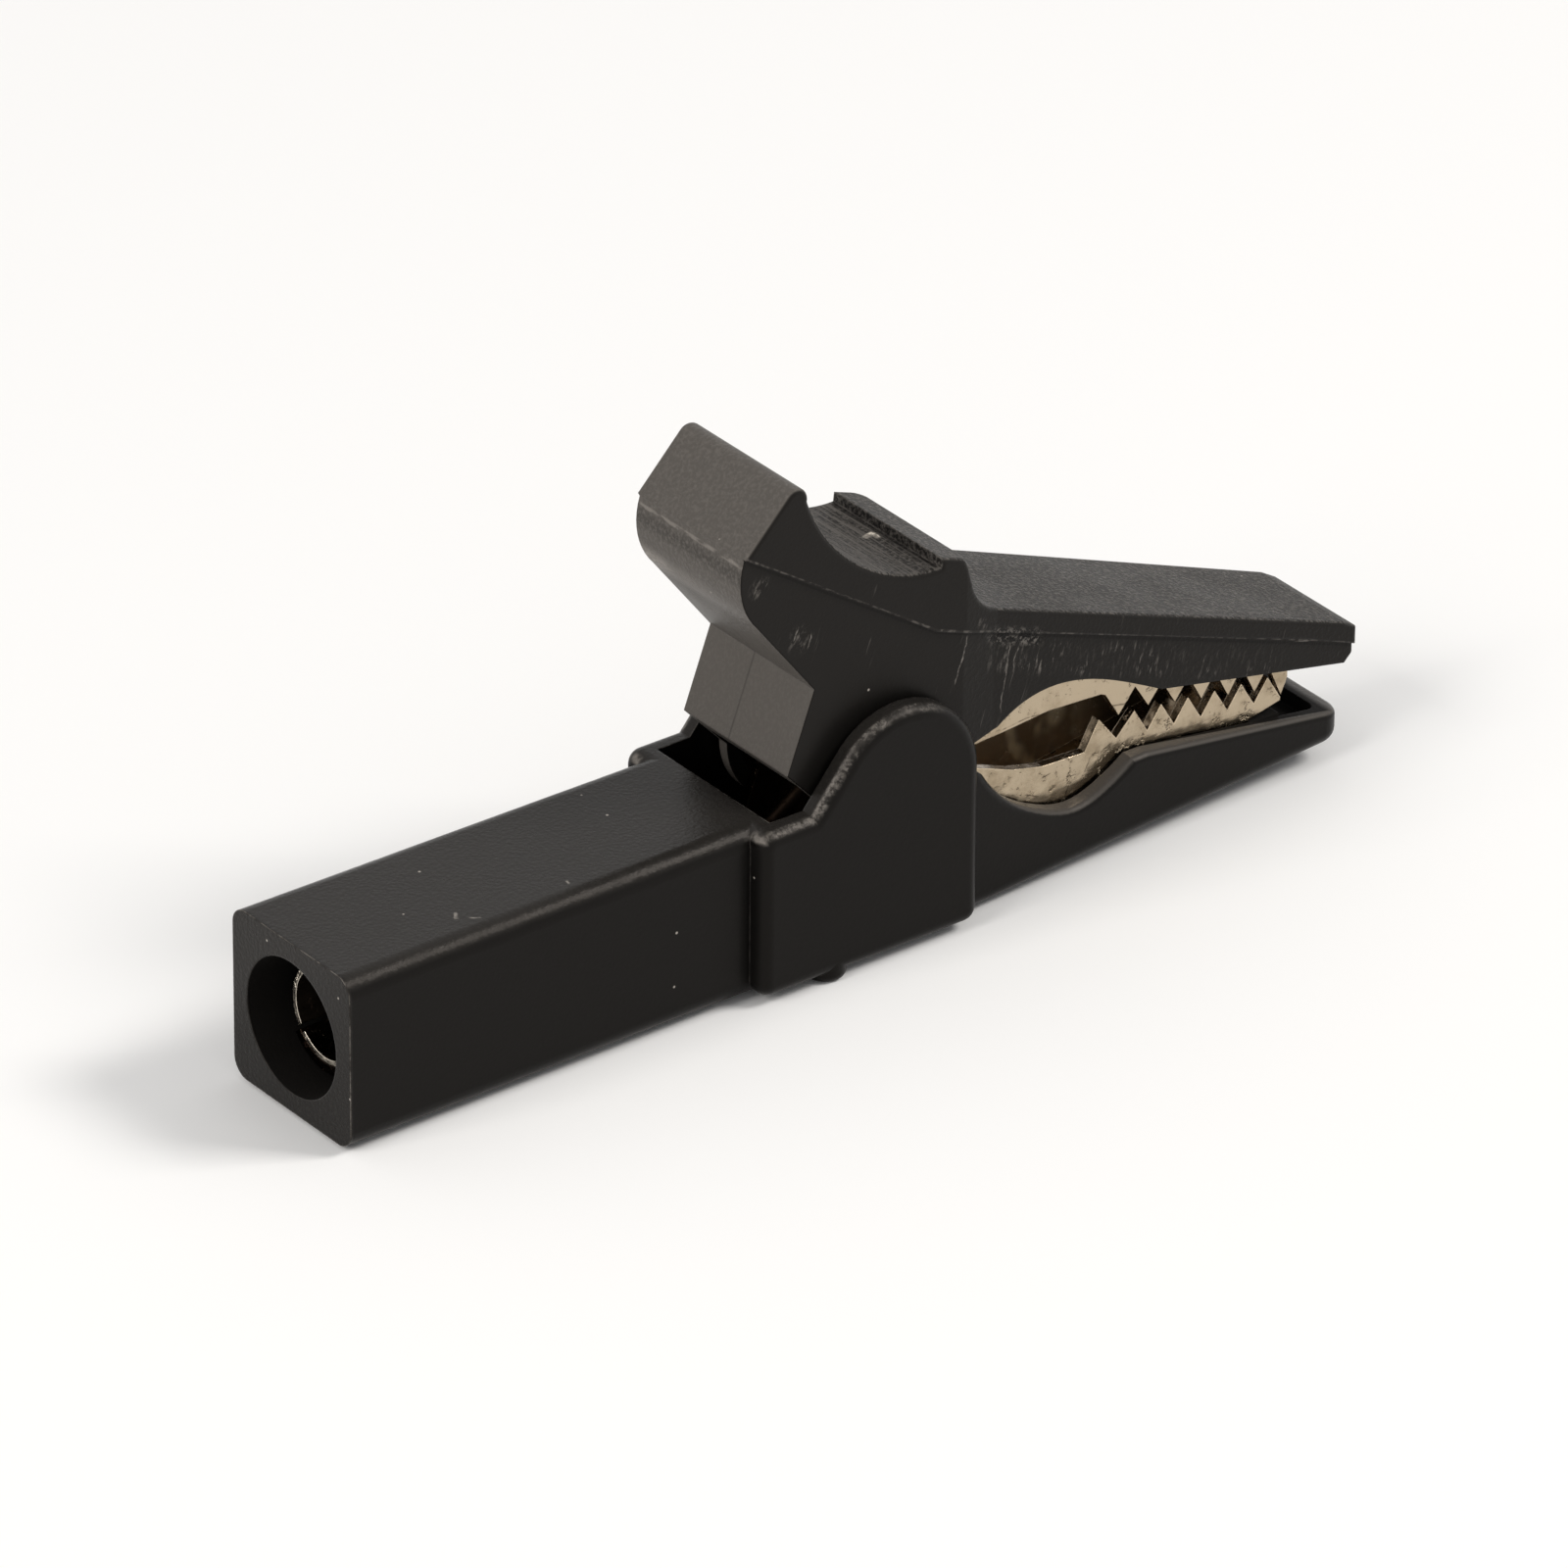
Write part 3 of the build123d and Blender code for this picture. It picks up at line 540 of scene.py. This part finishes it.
# The pale paint on the cheek's corner and along the ears' edges is partly wear and partly a painted
# highlight.
corner = both(tree, window(tree, x, *CORNER_X), ramp(tree, out, *CORNER_OUT), ramp(tree, z, *CORNER_Z))
up_and_out = both(tree, window(tree, unsigned(tree, to_y), *EAR_TILT), ramp(tree, z, *EAR_Z))
ear_edge = both(tree, up_and_out, window(tree, x, *EAR_X), ramp(tree, out, *EAR_OUT))
crumbly = ramp(tree, noise(tree, scale=EAR_WEAR_SCALE, detail=3, roughness=0.7), *EAR_WEAR)
wear = any_of(tree, wear, both(tree, corner, CORNER_WEAR_AND_HIGHLIGHT), both(tree, ear_edge, crumbly))
wear = both(tree, wear, outside(tree, hollow), outside(tree, low_cheek))

# %% Finish the handle
SIDE_GRAIN = (0, 1, 1.0, 0.3)
HANDLE_ROUGHNESS = (0, 1, 0.26, 0.34)
MATT_HOLLOW = 0.5
SATIN_CREST = 0.12

height = both(tree, fine, ramp(tree, side, *SIDE_GRAIN))
matt = both(tree, any_of(tree, hollow, low_cheek), MATT_HOLLOW)
rough = total(tree, ramp(tree, side, *HANDLE_ROUGHNESS), matt)
rough = total(tree, rough, both(tree, crest, SATIN_CREST))
finish_plastic(tree, shader, colour, wear, height, rounded, rough)
print(handle_plastic.name, "has", len(tree.nodes), "nodes")

# %% [markdown]
# ## The lever's plastic
#
# The lever has most of the character. Its pad and foot are grey with grain,
# and are painted paler partly as light. The back of the pad also has painted
# shade under its step and a painted reflection low down. The scoop in front of
# the pad has fine ribs across it where the tool was cut, and the step up to the
# hump is ragged, with pale and dark flecks that are partly painted highlight and
# shade. On the side, a chewed patch lies on the parting line, which has a
# painted highlight above it and painted shade below, and below that line the jaw
# is covered in short upright scratches. Each of these is a noise of its own, let
# through by its place.

# %% Tell the lever's skin from its sides
# The pad and foot are painted grey partly for their grain and partly as painted light.
LEVER_SKIN = [(24.35, grey(0.080)), (31.5, grey(0.012)), (33.1, grey(0.018)), (60.0, grey(0.011))]
SHADED_LEVER_SIDE = grey(0.0065)
SIDEWAYS = (0.5, 0.9)
FOOT_Z = (12.0, 11.5)
FOOT_X = (27.0, 26.0)
SAND_SCALE = 5.5
SAND_GRAIN = (0.40, 0.72)
FOOT_GRAIN = (0, 1, 1.0, 0.35)

lever_plastic, tree, shader = new_plastic("black nylon, grained")
x, y, z = place_xyz(tree)
to_x, to_y, to_z = facing_xyz(tree)
side = ramp(tree, unsigned(tree, to_y), *SIDEWAYS)
skin = outside(tree, side)
foot = both(tree, ramp(tree, z, *FOOT_Z), ramp(tree, x, *FOOT_X))
sand = noise(tree, scale=SAND_SCALE, detail=3, roughness=0.6)
grain = both(tree, ramp(tree, sand, *SAND_GRAIN), ramp(tree, foot, *FOOT_GRAIN))
colour = mix(tree, foot, colour_along(tree, x, LEVER_SKIN), LEVER_SKIN[0][1])

# %% Paint shade under the pad's step and a reflection low on the back of the pad
PAD_BACK_X = (24.0, 23.6)
UNDER_STEP_Z = (15.9, 16.6, 0.4)
SHEEN_Z = (13.4, 14.6, 0.5)
SHEEN_SCALE = 0.35
SHEEN_CLOUDS = (0.3, 0.6, 0.4, 1.0)
SHEEN_ACROSS = (-2.5, 3.0, 0.15, 1.0)
GRAIN_COVER = 0.8
UNDER_STEP_COVER = 0.6
UNDER_STEP_SHADE_GREY = grey(0.022)
SHEEN_REFLECTION_GREY = grey(0.26)
GRAIN_GREY = grey(0.115)

back = both(tree, ramp(tree, x, *PAD_BACK_X), skin)
# Painted shade: a darker band just under the pad's step.
shade_under_step = both(tree, back, window(tree, z, *UNDER_STEP_Z))
colour = mix(tree, both(tree, shade_under_step, UNDER_STEP_COVER), colour, UNDER_STEP_SHADE_GREY)
# Painted reflection: a pale sheen low on the back of the pad, where it mirrors the floor.
sheen_clouds = ramp(tree, noise(tree, scale=SHEEN_SCALE), *SHEEN_CLOUDS)
sheen = both(tree, back, window(tree, z, *SHEEN_Z), sheen_clouds, ramp(tree, y, *SHEEN_ACROSS))
colour = mix(tree, sheen, colour, SHEEN_REFLECTION_GREY)
colour = mix(tree, both(tree, grain, skin, GRAIN_COVER), colour, GRAIN_GREY)

# %% Draw the lines on the pad's step and on the foot
STEP_LINE_Z = (16.70, 16.86, 0.04)
TORN = (0.40, 0.56)
STEP_LINE_COVER = 0.7
FOOT_LINE_Y = (0.45, 0.55, 0.03)
FOOT_LINE_COVER = 0.5
FOOT_LINE_GREY = grey(0.03)

torn = ramp(tree, noise(tree, scale=1.0, stretch=(4, 1.2, 4), detail=4), *TORN)
step_line = both(tree, back, window(tree, z, *STEP_LINE_Z), torn)
foot_line = both(tree, foot, skin, window(tree, y, *FOOT_LINE_Y))
colour = mix(tree, both(tree, step_line, STEP_LINE_COVER), colour, PALE_WEAR_AND_HIGHLIGHT)
colour = mix(tree, both(tree, foot_line, FOOT_LINE_COVER), colour, FOOT_LINE_GREY)
# The sides are painted almost black, partly as painted shade.
colour = mix(tree, side, colour, SHADED_LEVER_SIDE)

# %% Rib the scoop
SCOOP_X = (24.5, 31.5, 0.1)
SCOOP_Z = (11.5, 12.0)
RIBS = (0.46, 0.58)
RIB_GREY = grey(0.09)

in_scoop = both(tree, window(tree, x, *SCOOP_X), ramp(tree, z, *SCOOP_Z), skin)
ribs = noise(tree, scale=1.0, stretch=(7.5, 0.22, 7.5), detail=3, roughness=0.65)
colour = mix(tree, both(tree, in_scoop, ramp(tree, ribs, *RIBS)), colour, RIB_GREY)

# %% Fleck the scoop's step pale and dark, partly as painted highlight and shade, and chip its edge
STEP_X = (31.5, 31.72, 0.03)
STEP_Z = (13.3, 13.45)
STEP_BACKWARD = (-0.5, -0.8)
RAGGED = (0.42, 0.66)
STEP_DARK = grey(0.008)
STEP_PALE = grey(0.13)
SCOOP_CHIP = [(30.85, 0.30, 0.6, 0.20, 20), (31.05, 0.1, 0.3, 0.16, 80)]
FRESH_CHIP = (0.95, 0.86, 0.74, 1)

on_step = both(tree, window(tree, x, *STEP_X), ramp(tree, z, *STEP_Z), ramp(tree, to_x, *STEP_BACKWARD))
ragged = noise(tree, scale=5.0, detail=5, roughness=0.75)
# The riser's pale and dark flecks are partly its ragged surface and partly painted highlight and shade.
step_colour = mix(tree, ramp(tree, ragged, *RAGGED), STEP_DARK, STEP_PALE)
colour = mix(tree, on_step, colour, step_colour)
chip = both(tree, drawn_marks(tree, x, y, SCOOP_CHIP), in_scoop)
colour = mix(tree, chip, colour, FRESH_CHIP)

# %% Follow the parting line down the side
JAW_LINE = (22.04, 0.373)
PAD_LINE = (31.05, 0.66)
JAW_BAND = (0.35, 1.9, 0.3)
JAW_BAND_X = (35.0, 50.5, 1.5)
PARTING = (-0.16, -0.04, 0.04)
PARTING_BREAKS = (0.42, 0.62, 0.05, 0.5)


def falling_line(tree, x, start, slope):
    """The height of a straight line that falls towards the jaws' tips."""
    return less(tree, start, both(tree, x, slope))


parting_z = any_of(tree, falling_line(tree, x, *JAW_LINE), falling_line(tree, x, *PAD_LINE))
below = less(tree, parting_z, z)
in_jaw_band = both(tree, window(tree, below, *JAW_BAND), window(tree, x, *JAW_BAND_X), side)
broken = ramp(tree, noise(tree, scale=3.0, detail=4), *PARTING_BREAKS)
# Painted highlight: a broken pale line just above the parting line, on the upper half's lower edge.
line = both(tree, window(tree, below, *PARTING), side, broken)

# %% Scratch the side in patches
SCRATCHES = (0.52, 0.66, 0, 0.85)
CLUSTERS = (0.42, 0.60, 0.15, 1.0)
FAINT = (0.62, 0.72, 0, 0.3)
FAINT_PATCHES = (0.5, 0.6)
CHEWED_X = (34.6, 37.4, 0.4)
CHEWED_BAND = (-0.25, 0.55, 0.25)
BITES = (0.50, 0.58)

upright = noise(tree, scale=1.0, stretch=(5.0, 1.0, 1.1), lean=-14, detail=4, roughness=0.75)
clusters = ramp(tree, noise(tree, scale=0.8, detail=3), *CLUSTERS)
scratches = both(tree, ramp(tree, upright, *SCRATCHES), in_jaw_band, clusters)
long_ones = noise(tree, scale=1.0, stretch=(4.0, 1.0, 0.25), lean=-20, detail=4, roughness=0.75)
faint = both(tree, ramp(tree, long_ones, *FAINT), side, ramp(tree, noise(tree, scale=0.3), *FAINT_PATCHES))
chewed = both(tree, window(tree, x, *CHEWED_X), window(tree, below, *CHEWED_BAND), side)
bites = ramp(tree, noise(tree, scale=3.6, detail=5, roughness=0.75), *BITES)

# %% Add the lever's single marks and scuffs
SIDE_MARKS = [(32.9, 8.4, 2.2, 0.04, 72), (35.5, 6.6, 3.4, 0.04, 82), (36.1, 7.5, 1.6, 0.03, 78)]
SIDE_MARKS += [(23.9, 12.6, 0.5, 0.04, 60), (24.6, 12.1, 0.7, 0.03, 70), (52.9, 2.35, 1.4, 0.05, -14)]
TOP_MARKS = [(49.7, 1.2, 0.9, 0.06, -50), (47.9, 2.0, 1.3, 0.04, -50), (50.7, -0.4, 1.2, 0.05, -50)]
JAW_TOP_UPWARD = (0.6, 0.9)
SIDE_SCUFFS = [(21.95, 15.5, 0.75), (24.1, 12.3, 0.9), (34.0, 9.9, 0.5)]
SCUFF_WEAR = (0.50, 0.70, 0, 0.5)

side_strokes = both(tree, drawn_marks(tree, x, z, SIDE_MARKS), side)
top_strokes = both(tree, drawn_marks(tree, x, y, TOP_MARKS), ramp(tree, to_z, *JAW_TOP_UPWARD))
marks = any_of(tree, side_strokes, top_strokes, line)
streaks = noise(tree, scale=1.0, stretch=(6, 1, 2.2), lean=-25, detail=4, roughness=0.75)
scuffed = both(tree, ramp(tree, streaks, *SCUFF_WEAR), side)
for scuff_x, scuff_z, radius in SIDE_SCUFFS:
    from_scuff = distance(tree, less(tree, x, scuff_x), less(tree, z, scuff_z))
    marks = any_of(tree, marks, both(tree, ramp(tree, from_scuff, radius, radius / 3), scuffed))
print("lever has", len(SIDE_MARKS) + len(TOP_MARKS), "single marks and", len(SIDE_SCUFFS), "scuffs")

# %% Colour the marks and the bites, and paint shade in the parting groove
PALE_COVER = 0.75
UNBITTEN = (0.4, 0.0)
BITE_COVER = 0.8
GROOVE = (0.02, 0.16, 0.05)
GROOVE_COVER = 0.85
BITE_BLACK = grey(0.002)
GROOVE_SHADE = grey(0.001)

pale = any_of(tree, scratches, faint, marks, both(tree, chewed, bites))
colour = mix(tree, both(tree, pale, PALE_COVER), colour, PALE_WEAR_AND_HIGHLIGHT)
pits = both(tree, chewed, ramp(tree, bites, *UNBITTEN), BITE_COVER)
colour = mix(tree, pits, colour, BITE_BLACK)
# Painted shade: a dark band just below the parting line, under the upper half's edge.
groove = both(tree, window(tree, below, *GROOVE), side, GROOVE_COVER)
colour = mix(tree, groove, colour, GROOVE_SHADE)

# %% Rub the lever's edges, and darken the pad's side edges
LEVER_EDGE_RADIUS = 0.16
ROUND_SCOOP_X = (24.0, 31.8, 0.3)
ROUND_SCOOP_Z = (12.0, 12.5)
ROUND_SCOOP_WEAR = (0, 1, 0.25, 0.7)
JAW_TOP_X = (33.2, 34.0)
JAW_TOP_BELOW = (-0.5, -0.9)
JAW_TOP_WEAR = 0.6
PAD_SIDE_X = (26.0, 24.5)
PAD_SIDE_COVER = 0.8
PAD_SIDE_BLACK = grey(0.001)

edge, rounded = edge_share(tree, LEVER_EDGE_RADIUS)
round_scoop = both(tree, window(tree, x, *ROUND_SCOOP_X), ramp(tree, z, *ROUND_SCOOP_Z))
on_jaw = both(tree, ramp(tree, x, *JAW_TOP_X), ramp(tree, below, *JAW_TOP_BELOW), JAW_TOP_WEAR)
wear = both(tree, edge, any_of(tree, ramp(tree, round_scoop, *ROUND_SCOOP_WEAR), on_jaw), skin)
# The pad's side edges are painted darker.
pad_side = both(tree, edge, side, ramp(tree, x, *PAD_SIDE_X), PAD_SIDE_COVER)
colour = mix(tree, pad_side, colour, PAD_SIDE_BLACK)

# %% Give the lever its relief
LEVER_SIDE_GRAIN = (0, 1, 0.9, 0.15)
JAW_GRAIN = (32, 34, 1.0, 2.2)
RIB_HEIGHT = 6.0
BITE_DEPTH = 6.0
SCRATCH_DEPTH = 0.4
STEP_HEIGHT = 4.0
LEVER_ROUGHNESS = (0, 1, 0.44, 0.36)

height = both(tree, grain, ramp(tree, side, *LEVER_SIDE_GRAIN), ramp(tree, x, *JAW_GRAIN))
height = total(tree, height, both(tree, in_scoop, ribs, RIB_HEIGHT))
height = less(tree, height, both(tree, chewed, ragged, BITE_DEPTH))
height = less(tree, height, both(tree, pale, SCRATCH_DEPTH))
height = total(tree, height, both(tree, on_step, ragged, STEP_HEIGHT))
finish_plastic(tree, shader, colour, wear, height, rounded, ramp(tree, side, *LEVER_ROUGHNESS))
print(lever_plastic.name, "has", len(tree.nodes), "nodes")

# %% [markdown]
# ## Nickel-plated sheet
#
# The jaws are pressed from thin steel and nickel plated, which gives a warm,
# satin metal with blurred reflections. Rolling left fine lines along the
# sheet, pressing left it a little wavy, and the punched edges are darker,
# partly as bare steel and partly as painted shade between the teeth. A plain
# metal shader looks like chrome, so roughness, colour and height all get
# their own noise, and the sharp edges get a painted highlight. Inside the
# folded channels, told apart by a face that looks in towards the middle, the
# plating is painted darker as shade, with a few painted gleams of reflection
# in the throat. Where the sheet runs into the handle it is painted near black
# as shade.

# %% Choose the metal's colours and marks
# A stain colour, also used as painted shade inside the channels.
STAIN_AND_SHADE = (0.10, 0.075, 0.05, 1)
SHADED_BRONZE = (0.42, 0.315, 0.205, 1)
BURIED_SHADE = (0.020, 0.013, 0.009, 1)
CUT_EDGE_AND_SHADE = (0.22, 0.165, 0.11, 1)
PAINTED_GLEAM = (1.0, 0.88, 0.66, 1)
METAL_MARKS = [(36.6, 3.64, 1.4, 0.05, 4), (37.9, 3.61, 1.5, 0.05, -6), (39.35, 3.43, 1.6, 0.05, -8)]
METAL_MARKS += [(40.8, 3.16, 1.5, 0.05, -13), (41.8, 2.8, 0.8, 0.06, -32), (42.45, 2.5, 0.8, 0.06, -14)]
METAL_MARKS += [(43.1, 2.52, 0.7, 0.05, 18), (39.65, -0.77, 1.0, 0.07, 50), (40.75, 0.1, 0.7, 0.06, 60)]
METAL_MARKS += [(41.85, 0.6, 0.8, 0.06, 25), (38.4, 0.4, 0.5, 0.05, 10), (37.6, -0.3, 0.8, 0.06, -25)]
print("jaws have", len(METAL_MARKS), "single marks")

# %% Colour the plating
SHEET_SIDE = (0.5, 0.8)
CUT_COVER = (0, 1, 0.8, 0)
DULL_SPOTS = (0.42, 0.72)
LOOKS_IN = (-0.5, -1.5)
GLEAMS = (0.48, 0.60)
GLEAM_X = (38.5, 43.5, 1.5)
STAINED_X = (44, 46)
BURIED_X = (31.5, 30.8)
METAL_EDGE_RADIUS = 0.08
HIGHLIGHT_BREAKS = (0.4, 0.6, 0.3, 1.0)
HIGHLIGHT_GAIN = 2.0
PRESSED_COVER = 0.75


def inner_shade_and_gleams(tree, x, shaded_inner_colour):
    """The colour inside a channel: painted shade, with a few painted gleams of reflection in the throat and
    deeper painted shade towards the tips.
    """
    patches = ramp(tree, noise(tree, scale=0.55, stretch=(1, 1, 0.6), detail=2), *GLEAMS)
    inside = mix(tree, both(tree, patches, window(tree, x, *GLEAM_X)), shaded_inner_colour, PAINTED_GLEAM)
    return mix(tree, ramp(tree, x, *STAINED_X), inside, STAIN_AND_SHADE)


def plating(tree, place, flat, inward, edge, dull, colours):
    """The plating's colour, from its own three colours: clean, dull and a shaded inside, with painted edge
    highlights and painted shade where it is buried.
    """
    x, _, z = place
    colour, dull_colour, shaded_inner_colour = colours
    tint = mix(tree, ramp(tree, dull, *DULL_SPOTS), colour, dull_colour)
    # Cut faces are darker, partly as bare steel and partly as painted shade between the teeth.
    tint = mix(tree, ramp(tree, flat, *CUT_COVER), tint, CUT_EDGE_AND_SHADE)
    # Painted shade and painted gleams of reflection on faces that look inwards.
    tint = mix(tree, inward, tint, inner_shade_and_gleams(tree, x, shaded_inner_colour))
    # Painted highlight: the sheet's sharp edges are lightened, in broken stretches.
    bright = tuple(min(1.0, share * HIGHLIGHT_GAIN) for share in colour[:3]) + (1,)
    shine = both(tree, edge, flat, ramp(tree, noise(tree, scale=2.5, detail=3), *HIGHLIGHT_BREAKS))
    tint = mix(tree, shine, tint, bright)
    pressed = both(tree, drawn_marks(tree, x, z, METAL_MARKS), flat, outside(tree, inward))
    tint = mix(tree, both(tree, pressed, PRESSED_COVER), tint, STAIN_AND_SHADE)
    # Painted shade: the metal that runs into the housing is painted near black.
    return mix(tree, ramp(tree, x, *BURIED_X), tint, BURIED_SHADE)


# %% Make a plated metal
DULL_ROUGHER = (0.3, 0.8, 0.0, 0.16)
LINES_ROUGHER = (0.3, 0.7, 0, 0.08)
INSIDE_ROUGHER = 0.3
WAVE_HEIGHT = 5.0
LINE_HEIGHT = 0.2
DENTS = (0.58, 0.70, 0, 1.6)


def plated_metal(name, colours, roughness):
    """Satin nickel over sheet metal: rolling lines, soft waves, dull spots, dark cut edges, painted edge
    highlights and a painted dark inside.
    """
    material, tree, shader = new_material(name)
    shader.inputs["Metallic"].default_value = 1.0
    place = place_xyz(tree)
    to_y = facing_xyz(tree)["Y"]
    flat = ramp(tree, unsigned(tree, to_y), *SHEET_SIDE)
    inward = ramp(tree, both(tree, to_y, place["Y"]), *LOOKS_IN)
    edge, rounded = edge_share(tree, METAL_EDGE_RADIUS)
    dull = noise(tree, scale=0.9, detail=5, roughness=0.6)
    tree.links.new(plating(tree, place, flat, inward, edge, dull, colours), shader.inputs["Base Color"])
    lines = noise(tree, scale=1.0, stretch=(0.4, 6, 6), detail=4)
    rough = total(tree, ramp(tree, dull, *DULL_ROUGHER), ramp(tree, lines, *LINES_ROUGHER))
    rough = total(tree, rough, both(tree, inward, INSIDE_ROUGHER))
    tree.links.new(total(tree, rough, roughness), shader.inputs["Roughness"])
    height = both(tree, noise(tree, scale=0.7, detail=2), WAVE_HEIGHT)
    height = total(tree, height, both(tree, lines, LINE_HEIGHT))
    dents = ramp(tree, noise(tree, scale=1.8, detail=4, roughness=0.7), *DENTS)
    press_relief(tree, shader, less(tree, height, dents), rounded)
    return material


# %% Plate the jaws, the rivet and the spring
SHEET_COLOURS = [(0.47, 0.385, 0.275, 1), (0.33, 0.26, 0.175, 1), SHADED_BRONZE]
RIVET_COLOURS = [(0.50, 0.44, 0.36, 1), (0.40, 0.33, 0.25, 1), STAIN_AND_SHADE]
# The spring wire is dark steel, painted darker still as shade in the slot.
SHADED_WIRE_COLOURS = [(0.04, 0.026, 0.018, 1), (0.03, 0.02, 0.014, 1), STAIN_AND_SHADE]

nickel = plated_metal("nickel on steel", SHEET_COLOURS, roughness=0.14)
rivet_nickel = plated_metal("nickel on rivet", RIVET_COLOURS, roughness=0.28)
spring_steel = plated_metal("drawn spring wire", SHADED_WIRE_COLOURS, roughness=0.45)
print(nickel.name, "has", len(nickel.node_tree.nodes), "nodes")

# %% [markdown]
# ## The socket's plating
#
# Down in the mouth only the rim of the rolled sleeve catches the light, as a
# thin bright arc. Its bore lies deep in the handle, so the bore is painted dark
# as shade, and the rim's end face is painted bright, partly the plating's own
# colour and partly a painted highlight.

# %% Mix the socket's finish
SOCKET_COLOURS = [(0.80, 0.73, 0.60, 1), (0.66, 0.57, 0.42, 1), STAIN_AND_SHADE]
SHADED_BORE = (0.030, 0.022, 0.016, 1)
RIM_HIGHLIGHT = (0.95, 0.86, 0.72, 1)
LOOKS_OUT = (-0.5, -0.8)

socket_nickel = plated_metal("nickel on brass", SOCKET_COLOURS, roughness=0.2)
tree = socket_nickel.node_tree
shader = tree.nodes["Principled BSDF"]
# Painted shade in the bore, and a painted highlight on the rim's end face.
rim = ramp(tree, facing_xyz(tree)["X"], *LOOKS_OUT)
tree.links.new(mix(tree, rim, SHADED_BORE, RIM_HIGHLIGHT), shader.inputs["Base Color"])
print(socket_nickel.name, "is bright on the rim only")

# %% [markdown]
# ## Giving the finishes to the CAD pieces
#
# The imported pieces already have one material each, from the record. Filling
# their material slots keeps the meshes as they are, and only changes how they
# take the light.

# %% Fill the material slots
FINISHES = {
    "housing": handle_plastic,
    "lever": lever_plastic,
    "lower_jaw": nickel,
    "upper_jaw": nickel,
    "plug_socket": socket_nickel,
    "pivot_rivet": rivet_nickel,
}
for node, material in FINISHES.items():
    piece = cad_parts[node]
    for index in range(len(piece.data.materials)):
        piece.data.materials[index] = material
    print(node, "takes", material.name, "on", len(piece.data.polygons), "faces")

# %% [markdown]
# ## The torsion spring
#
# The spring is a few turns of hard wire round the rivet. One leg lies in the
# handle and the other lies under the pad, so the coil winds tighter as the
# lever goes down. A stiff copy would cut through the lever as it moves. This
# piece is made again from its centreline as a tube and takes the place of the
# CAD spring: the leg at the far end of the coil lies in the handle, the leg at
# the near end lies under the pad, and the turns are spaced evenly in between.

# %% Draw the spring's centreline
PIVOT = Vector((29.0, 0, 3.77))
WIRE = 0.6
COIL_RADIUS = 1.5
COIL_PITCH = 0.66
COIL_TURNS = 4
STEPS_PER_TURN = 40
HANDLE_LEG = (214, 8.0)
PAD_LEG = (117, 9.2)


def on_coil(angle, y):
    """A point on the coil's centreline, at an angle in degrees and a place along the rivet."""
    turn = radians(angle)
    return PIVOT + Vector((COIL_RADIUS * cos(turn), y, COIL_RADIUS * sin(turn)))


def leg_end(start, leg):
    """The free end of a leg that leaves the coil in a straight line."""
    angle, length = leg
    return start + Vector((cos(radians(angle)), 0, sin(radians(angle)))) * length


first_angle = HANDLE_LEG[0] + 90 - 360
last_angle = PAD_LEG[0] - 90
sweep = 360 * COIL_TURNS + last_angle - first_angle
half_coil = sweep / 360 * COIL_PITCH / 2
steps = STEPS_PER_TURN * COIL_TURNS
coil = [on_coil(first_angle + sweep * i / steps, half_coil * (1 - 2 * i / steps)) for i in range(steps + 1)]
line = [leg_end(coil[0], HANDLE_LEG)] + coil + [leg_end(coil[-1], PAD_LEG)]
print("wire length", round(sum((a - b).length for a, b in zip(line, line[1:])), 1), "mm")

# %% Turn the centreline into wire
WIRE_ROUNDNESS = 4

curve = bpy.data.curves.new("spring", "CURVE")
curve.dimensions = "3D"
curve.bevel_depth = WIRE / 2 * MM
curve.bevel_resolution = WIRE_ROUNDNESS
curve.use_fill_caps = True
spline = curve.splines.new("POLY")
spline.points.add(len(line) - 1)
for point, place in zip(spline.points, line):
    point.co = (*(place * MM), 1)
drawn = bpy.data.objects.new("spring line", curve)
bpy.context.scene.collection.objects.link(drawn)
bpy.context.view_layer.update()
wire_mesh = bpy.data.meshes.new_from_object(drawn.evaluated_get(bpy.context.evaluated_depsgraph_get()))
bpy.data.objects.remove(drawn)

# %% Hang the wire between the handle and the lever
spring = bpy.data.objects.new("wound_spring", wire_mesh)
bpy.context.scene.collection.objects.link(spring)
wire_mesh.materials.clear()
wire_mesh.materials.append(spring_steel)
for face in wire_mesh.polygons:
    face.use_smooth = True
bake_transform(spring)
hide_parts("torsion_spring")
print("spring has", len(wire_mesh.vertices), "vertices")
